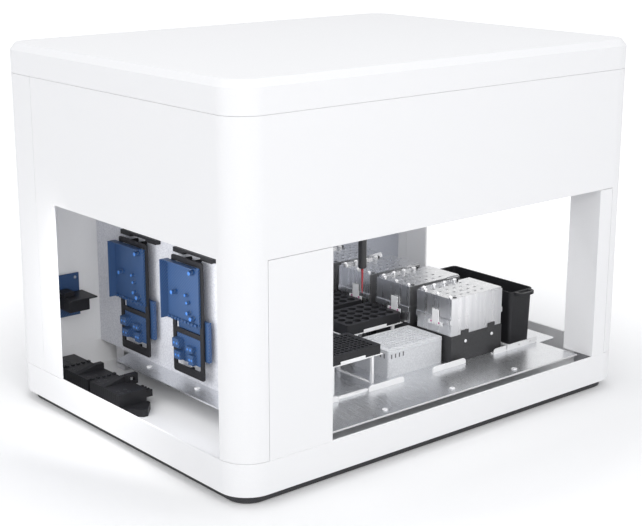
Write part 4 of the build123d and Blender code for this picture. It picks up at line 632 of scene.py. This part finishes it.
def hole_places(low, high, top):
    """Centres of the holes in a cover, which lie a little in front of its middle."""
    first_x = low[0] + HOLE_INSET
    first_y = (low[1] + high[1]) / 2 - HOLE_SHIFT - (HOLE_ROWS - 1) / 2 * HOLE_PITCH_Y
    return [(first_x + i * HOLE_PITCH_X, first_y + j * HOLE_PITCH_Y, top)
            for i in range(HOLE_COLUMNS) for j in range(HOLE_ROWS)]


def box_at(bm, origin, low, high, edge):
    """A rounded box whose corners and edge are given in millimetres from an origin."""
    corners = [[o + c * MM for o, c in zip(origin, corner)] for corner in (low, high)]
    add_box(bm, *corners, edge * MM)


print("places ready")

# %% Knobs, teeth, rims, plugs and painted hole shade on the four covers
for index in range(1, 5):
    node = "module_cover_%d" % index
    low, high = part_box(node)
    top, rear = low[2] + COVER_HEIGHT, high[1]
    knobs = bmesh.new()
    for i in range(PIN_COUNT):
        place = (low[0] + PIN_INSET, low[1] + PIN_START + PIN_PITCH * i, top + PIN_RISE)
        add_ball(knobs, place, PIN_KNOB, PIN_FLATTEN)
    for i in range(LATCH_COUNT):
        place = (low[0] + LATCH_START + LATCH_PITCH * i, rear - LATCH_FROM_REAR, top + LATCH_RISE)
        add_ball(knobs, place, LATCH_KNOB, LATCH_FLATTEN)
    make_piece("knobs_%d" % index, knobs, knob_white, node)
    trim = bmesh.new()
    for i in range(TOOTH_COUNT):
        place = (low[0] + TOOTH_START + TOOTH_PITCH * i, rear - TOOTH_FROM_REAR, top + TOOTH_RISE)
        add_ball(trim, place, TOOTH_RADIUS, TOOTH_FLATTEN)
    for place in hole_places(low, high, top):
        add_ring(trim, place, RIM_INNER, RIM_OUTER, RIM_HEIGHT)
    make_piece("cover_trim_%d" % index, trim, silver_metal, node)
    plug_and_hole_shade = bmesh.new()
    # The rods in the holes are painted shade; the box and the ring after them are real dark parts.
    for x, y, z in hole_places(low, high, top):
        add_rod(plug_and_hole_shade, (x, y, z - HOLE_SHADE_BOTTOM), (x, y, z - HOLE_SHADE_TOP), HOLE_SHADE_RADIUS, segments=20)
    box_at(plug_and_hole_shade, (low[0], rear, top), PLUG_LOW, PLUG_HIGH, PLUG_EDGE)
    port = (low[0] + PORT_PLACE[0] * MM, low[1] + PORT_PLACE[1] * MM, top)
    add_ring(plug_and_hole_shade, port, PORT_INNER, PORT_OUTER, PORT_HEIGHT)
    make_piece("cover_plug_and_hole_shade_%d" % index, plug_and_hole_shade, shade_and_plug_black, node)

# %% [markdown]
# ## Paint dots
# The clips on the left of each module are pale strips of plastic. Two pink dots of paint mark each
# foot. They are discs a third of a millimetre high, set on the clip's outer face.

# %% Pink dots on the clips
MODULE_ROWS, MODULE_PITCH, FOOT_MIDDLE = 4, 104.0 * MM, 17.0 * MM
DOT_SHIFT, DOT_ABOVE_FOOT, DOT_RADIUS = 9.5 * MM, 5.0 * MM, 1.7 * MM
DOT_SUNK, DOT_PROUD = 0.2 * MM, 0.3 * MM
dots = bmesh.new()
clip_x, clip_y, clip_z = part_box("module_clips")[0]
for row in range(MODULE_ROWS):
    middle = clip_y + FOOT_MIDDLE + MODULE_PITCH * row
    for y in (middle - DOT_SHIFT, middle + DOT_SHIFT):
        z = clip_z + DOT_ABOVE_FOOT
        add_rod(dots, (clip_x + DOT_SUNK, y, z), (clip_x - DOT_PROUD, y, z), DOT_RADIUS)
make_piece("clip_dots", dots, dot_pink, "housing")

# %% [markdown]
# ## Tip box
# The tip box is a translucent moulding. Short upright slots run along the top of its sides, and a
# narrow rim overhangs them. The slots are dark grey boxes barely proud of the sides, which paint the
# shade inside them. The rim is a rounded block, inset from above and below, whose two inner
# outlines are bridged into a hole.

# %% A band that runs round a rounded block
def add_band(bm, low, high, corner, wall, edge):
    """A closed band with rounded corners, hollow in the middle."""
    band = bmesh.new()
    add_box(band, low, high)
    upright = [e for e in band.edges if abs(e.verts[0].co.z - e.verts[1].co.z) > 0.00001]
    bmesh.ops.bevel(band, geom=upright, offset=corner, offset_type="OFFSET", affect="EDGES",
                    segments=6, profile=0.5, material=-1, clamp_overlap=True)
    caps = [f for f in band.faces if abs(f.normal.z) > 0.9]
    for cap in caps:
        bmesh.ops.inset_region(band, faces=[cap], thickness=wall, use_even_offset=True)
    rims = [e for cap in caps for e in cap.edges]
    bmesh.ops.delete(band, geom=caps, context="FACES_ONLY")
    bmesh.ops.bridge_loops(band, edges=rims)
    bmesh.ops.recalc_face_normals(band, faces=band.faces)
    round_edges(band, edge, 60.0, 3)
    copy = bpy.data.meshes.new("band")
    band.to_mesh(copy)
    band.free()
    bm.from_mesh(copy)
    bpy.data.meshes.remove(copy)


BOX_RIM_PROUD, BOX_RIM_FROM, BOX_RIM_TO = 0.6 * MM, 41.0 * MM, 43.2 * MM
BOX_RIM_CORNER, BOX_RIM_WALL, BOX_RIM_EDGE = 4.5 * MM, 1.4 * MM, 0.4 * MM
box_low, box_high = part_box("tip_box")
rim = bmesh.new()
add_band(rim, (box_low[0] - BOX_RIM_PROUD, box_low[1] - BOX_RIM_PROUD, box_low[2] + BOX_RIM_FROM),
         (box_high[0] + BOX_RIM_PROUD, box_high[1] + BOX_RIM_PROUD, box_low[2] + BOX_RIM_TO),
         BOX_RIM_CORNER, BOX_RIM_WALL, BOX_RIM_EDGE)
make_piece("tip_box_rim", rim, clear_plastic, "tip_box")

# %% Painted slot shade along the tip box's sides
SIDE_SLOTS, SIDE_SLOT_START = 8, 9.0
FRONT_SLOTS, FRONT_SLOT_START = 4, 6.0
SLOT_PITCH, SLOT_WIDTH, SLOT_PROUD, SLOT_SUNK, SLOT_EDGE = 9.0, 2.8, 0.12, 0.5, 0.1
SLOT_FROM, SLOT_TO = 32.5, 40.2
# Dark grey boxes on the sides paint the shade inside the slots.
slot_shades = bmesh.new()
for i in range(SIDE_SLOTS):
    y = SIDE_SLOT_START + SLOT_PITCH * i
    box_at(slot_shades, box_low, (-SLOT_PROUD, y, SLOT_FROM), (SLOT_SUNK, y + SLOT_WIDTH, SLOT_TO),
           SLOT_EDGE)
for i in range(FRONT_SLOTS):
    x = FRONT_SLOT_START + SLOT_PITCH * i
    box_at(slot_shades, box_low, (x, -SLOT_PROUD, SLOT_FROM), (x + SLOT_WIDTH, SLOT_SUNK, SLOT_TO),
           SLOT_EDGE)
make_piece("tip_box_slot_shades", slot_shades, slot_shade_grey, "tip_box")

# %% [markdown]
# ## Waste bin
# A thin plastic bin gets its stiffness from a rolled rim. The same band as before, wider than the
# wall and fully rounded, sits on the bin's upper edge.

# %% Rolled rim
MOUTH_LENGTH = 197.0 * MM
BIN_RIM_PROUD, BIN_RIM_BELOW, BIN_RIM_ABOVE = 0.9 * MM, 3.4 * MM, 0.6 * MM
BIN_RIM_CORNER, BIN_RIM_WALL, BIN_RIM_EDGE = 8.5 * MM, 2.9 * MM, 1.2 * MM
bin_low, bin_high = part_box("waste_bin")
mouth_front = bin_high[1] - MOUTH_LENGTH
rim = bmesh.new()
rim_low = (bin_low[0] - BIN_RIM_PROUD, mouth_front - BIN_RIM_PROUD, bin_high[2] - BIN_RIM_BELOW)
rim_high = (bin_high[0] + BIN_RIM_PROUD, bin_high[1] + BIN_RIM_PROUD,
            bin_high[2] + BIN_RIM_ABOVE)
add_band(rim, rim_low, rim_high, BIN_RIM_CORNER, BIN_RIM_WALL, BIN_RIM_EDGE)
make_piece("bin_rim", rim, black_plastic, "waste_bin")

# %% [markdown]
# ## The deck's bright edge
# The deck plate's front edge is cut and turned down, so it shines as one thin line above the dark
# gap. That line is a painted highlight: a narrow white strip with rounded edges, just in front of
# the plate.

# %% Painted highlight strip along the front edge
STRIP_LEFT, STRIP_RIGHT = -252.5 * MM, 344.5 * MM
STRIP_PROUD, STRIP_SUNK = 0.9 * MM, 0.3 * MM
STRIP_BELOW, STRIP_ABOVE = 2.6 * MM, 0.3 * MM
deck_low, deck_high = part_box("deck_plate")
# A white strip painted in as the highlight on the deck's front edge.
strip = bmesh.new()
add_box(strip, (STRIP_LEFT, deck_low[1] - STRIP_PROUD, deck_high[2] - STRIP_BELOW),
        (STRIP_RIGHT, deck_low[1] + STRIP_SUNK, deck_high[2] + STRIP_ABOVE), 0.4 * MM)
make_piece("deck_edge_highlight", strip, white_sheet, "housing")

# %% [markdown]
# ## Driver boards
# Each driver board is a shallow blue tray: a sheet with a wide side flange, a top flange and a row
# of plugs along its lower edge. Round studs with lighter faces stand on it. The tray is one
# object for both boards, and it stands in for the plain solid. Each line of STUDS is one stud: its
# place across and up the sheet, its radius and its height.

# %% Trays, studs and plugs
BOARD_WIDTH, SHEET = 92.0, 1.6
FLANGE_DEPTH, TOP_FLANGE_START = 10.4, 8.0
LIP_DEPTH, LIP_WIDTH, LIP_BELOW, LIP_ABOVE = 2.4, 1.4, 1.3, 1.7
STUDS = ((16.5, 90.5, 4.5, 9.0), (33.5, 49.5, 3.2, 6.0), (29.5, 37.5, 3.2, 6.0),
         (66.5, 48.5, 4.5, 10.0), (28.0, 20.0, 3.8, 7.0), (17.0, 13.0, 4.6, 8.0))
STUD_TAPER, FACE_RADIUS, FACE_TIP = 0.86, 0.8, 0.6
FACE_SUNK, FACE_PROUD = 0.2, 0.6
PLUG_COUNT, PLUG_START, PLUG_PITCH, PLUG_WIDTH = 9, 6.0, 9.4, 6.0
PLUG_DEEP, PLUG_FROM, PLUG_TO = 4.5, 0.5, 5.3
board_low, board_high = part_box("driver_boards")
sheet_face = board_high[0] - SHEET * MM
tall = (board_high[2] - board_low[2]) / MM
board_starts = (board_low[1], board_high[1] - BOARD_WIDTH * MM)
trays = bmesh.new()
faces = bmesh.new()
for start in board_starts:
    corner = (sheet_face, start, board_low[2])
    flange = (board_low[0] - sheet_face) / MM
    box_at(trays, corner, (0.0, 0.0, 0.0), (SHEET, BOARD_WIDTH, tall), 0.35)
    box_at(trays, corner, (flange, BOARD_WIDTH - SHEET, 0.0), (0.0, BOARD_WIDTH, tall), 0.35)
    box_at(trays, corner, (-FLANGE_DEPTH, TOP_FLANGE_START, tall - SHEET),
           (0.0, BOARD_WIDTH - SHEET, tall), 0.35)
    box_at(trays, corner, (-LIP_DEPTH, 0.0, LIP_BELOW), (0.0, LIP_WIDTH, tall - LIP_ABOVE),
           0.35)
    for across, up, radius, deep in STUDS:
        place = Vector((sheet_face, start + across * MM, board_low[2] + up * MM))
        add_rod(trays, place, place - Vector((deep * MM, 0.0, 0.0)), radius * MM,
                radius * STUD_TAPER * MM, 20)
        add_rod(faces, place - Vector(((deep - FACE_SUNK) * MM, 0.0, 0.0)),
                place - Vector(((deep + FACE_PROUD) * MM, 0.0, 0.0)),
                radius * FACE_RADIUS * MM, radius * FACE_TIP * MM, 20)
    for i in range(PLUG_COUNT):
        y = PLUG_START + PLUG_PITCH * i
        box_at(trays, corner, (-PLUG_DEEP, y, PLUG_FROM), (0.0, y + PLUG_WIDTH, PLUG_TO), 0.5)
tray_piece = make_piece("driver_trays", trays, board_blue, "housing")
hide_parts("driver_boards")
make_piece("stud_faces", faces, stud_blue, "housing")

# %% [markdown]
# ## Input and output boards
# The blocks on the lower boards are screw terminals. Two light blue screw faces on each block tell
# them apart from plain plastic. Each line of IO_BLOCKS is one block: its place across and up the
# board, its width, height and depth.

# %% Screw faces on the terminal blocks
IO_BLOCKS = ((46.0, 24.0, 19.0, 15.0, 12.0), (44.0, 4.0, 18.0, 14.0, 11.0),
             (14.0, 22.0, 18.0, 10.0, 8.0), (12.0, 1.0, 14.0, 17.0, 8.0))
IO_INSET = 3.8
SCREW_SHARES = (0.28, 0.72)
SCREW_SUNK, SCREW_PROUD, SCREW_RADIUS, SCREW_TIP = 0.2 * MM, 0.4 * MM, 2.2 * MM, 1.9 * MM
io_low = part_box("io_boards")[0]
io_face = io_low[0] + max(block[4] for block in IO_BLOCKS) * MM
screws = bmesh.new()
for start in board_starts:
    for across, up, wide, high, deep in IO_BLOCKS:
        x = io_face - deep * MM
        for share in SCREW_SHARES:
            y = start + (IO_INSET + across + wide * share) * MM
            z = io_low[2] + (up + high / 2) * MM
            add_rod(screws, (x + SCREW_SUNK, y, z), (x - SCREW_PROUD, y, z), SCREW_RADIUS,
                    SCREW_TIP, 16)
make_piece("terminal_screws", screws, stud_blue, "housing")

# %% [markdown]
# ## Rear board and its black module
# The solid behind joins a blue sheet and a black module in one part, so it could only have one
# colour. Two pieces stand in for it: the sheet with its mounting posts, and the module, which is a
# block under a wide plate with a small cap on top. All their sizes start at the solid's front left
# lower corner.

# %% Blue sheet with a bright grommet
SHEET_LOW, SHEET_HIGH = (0.0, 53.0, 0.0), (66.0, 54.6, 78.0)
POST_COLUMNS, POST_ROWS = (8.0, 48.0), (8.0, 70.0)
POST_FROM, POST_TO, POST_RADIUS = 54.11, 58.51, 3.0
GROMMET_PLACE, GROMMET_FROM, GROMMET_TO = (58.0, 70.0), 53.11, 52.31
rear_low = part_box("rear_board")[0]
sheet = bmesh.new()
box_at(sheet, rear_low, SHEET_LOW, SHEET_HIGH, 0.4)
for x in POST_COLUMNS:
    for z in POST_ROWS:
        post = [Vector(rear_low) + Vector((x, y, z)) * MM for y in (POST_FROM, POST_TO)]
        add_rod(sheet, *post, POST_RADIUS * MM)
sheet_piece = make_piece("rear_sheet", sheet, board_blue, "housing")
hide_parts("rear_board")
grommet = bmesh.new()
x, z = GROMMET_PLACE
ends = [Vector(rear_low) + Vector((x, y, z)) * MM for y in (GROMMET_FROM, GROMMET_TO)]
add_rod(grommet, *ends, 2.8 * MM, 2.2 * MM, 20)
make_piece("rear_grommet", grommet, stud_bright, "housing")

# %% Black module
MODULE_BOXES = (((18.0, 0.0, 42.0), (71.0, 53.0, 44.5), 0.5),
                ((20.0, 9.0, 20.0), (60.0, 53.0, 42.1), 0.8),
                ((20.0, 25.0, 44.4), (40.0, 51.0, 53.0), 1.0))
FIN_COUNT, FIN_START, FIN_PITCH, FIN_WIDTH = 6, 12.61, 6.2, 3.0
FIN_OUTSIDE, FIN_INSIDE, FIN_FROM, FIN_TO = 19.51, 20.41, 23.5, 38.5
module = bmesh.new()
for low, high, edge in MODULE_BOXES:
    box_at(module, rear_low, low, high, edge)
for i in range(FIN_COUNT):
    y = FIN_START + FIN_PITCH * i
    box_at(module, rear_low, (FIN_OUTSIDE, y, FIN_FROM), (FIN_INSIDE, y + FIN_WIDTH, FIN_TO), 0.2)
make_piece("rear_module", module, black_plastic, "housing")

# %% [markdown]
# ## Connector modules on the bay floor
# The row of black connectors is ribbed along its side, where each rib marks one slice, and its top
# carries small screw wells. The ribs are thin boxes on the outer face, and none crosses a joint
# between two modules.

# %% Ribs and screw wells
RIB_COUNT, RIB_START, RIB_PITCH, RIB_WIDTH = 36, 36.29, 6.2, 2.4
RIB_PROUD, RIB_SUNK, RIB_FROM, RIB_TO = 0.34, 0.41, 15.5, 34.1
JOINTS = ((120.79, 132.79), (204.79, 216.79))
WELL_COLUMNS = (9.41, 23.41)
WELL_ROWS = (38.29, 50.29, 100.29, 111.29, 142.29, 184.29, 195.29, 226.29, 238.29, 250.29)
WELL_LEVEL, WELL_INNER, WELL_OUTER, WELL_HEIGHT = 34.8, 1.6 * MM, 2.8 * MM, 0.7 * MM
train_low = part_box("terminal_train")[0]
ribs = bmesh.new()
wells = bmesh.new()
for i in range(RIB_COUNT):
    y = RIB_START + RIB_PITCH * i
    if not any(first < y < last for first, last in JOINTS):
        box_at(ribs, train_low, (-RIB_PROUD, y, RIB_FROM), (RIB_SUNK, y + RIB_WIDTH, RIB_TO), 0.2)
for y in WELL_ROWS:
    for x in WELL_COLUMNS:
        place = Vector(train_low) + Vector((x, y, WELL_LEVEL)) * MM
        add_ring(wells, place, WELL_INNER, WELL_OUTER, WELL_HEIGHT, 16)
make_piece("train_ribs", ribs, black_plastic, "housing")
make_piece("train_wells", wells, motor_metal, "housing")

# %% [markdown]
# ## Screws of the rear cover
# The rear cover comes off for service, so it is held by flush countersunk screws. Each is a dark
# ring round a bright face with a small dark socket, all almost level with the cover. The ring and
# the socket are near-black discs, painted shade of the countersink's gap and of the socket's hollow.

# %% Countersunk screws
SCREW_COLUMNS = (-372.0 * MM, -125.0 * MM, 125.0 * MM, 372.0 * MM)
SCREW_ROWS = (88.0 * MM, 545.0 * MM)
SCREW_DEPTH = 0.6 * MM
SEAT_SHADE, HEAD, SOCKET_SHADE = (4.0 * MM, 0.02 * MM), (3.4 * MM, 0.05 * MM), (1.5 * MM, 0.08 * MM)
cover_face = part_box("rear_cover")[1][1]
# The near-black seat rings and socket discs are painted shade.
seat_shades = bmesh.new()
heads = bmesh.new()
for x in SCREW_COLUMNS:
    for z in SCREW_ROWS:
        for bm, (radius, proud) in ((seat_shades, SEAT_SHADE), (heads, HEAD), (seat_shades, SOCKET_SHADE)):
            add_rod(bm, (x, cover_face - SCREW_DEPTH, z), (x, cover_face + proud, z), radius)
make_piece("cover_screw_seat_shades", seat_shades, shade_and_plug_black, "housing")
make_piece("cover_screw_heads", heads, stud_bright, "housing")

# %% [markdown]
# ## The dressed model's box
# The box round the dressed model, leaving out the floor, is worked out. The dressed model
# must fill the same box as the bare solids.

# %% Size of the dressed model
low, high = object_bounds()
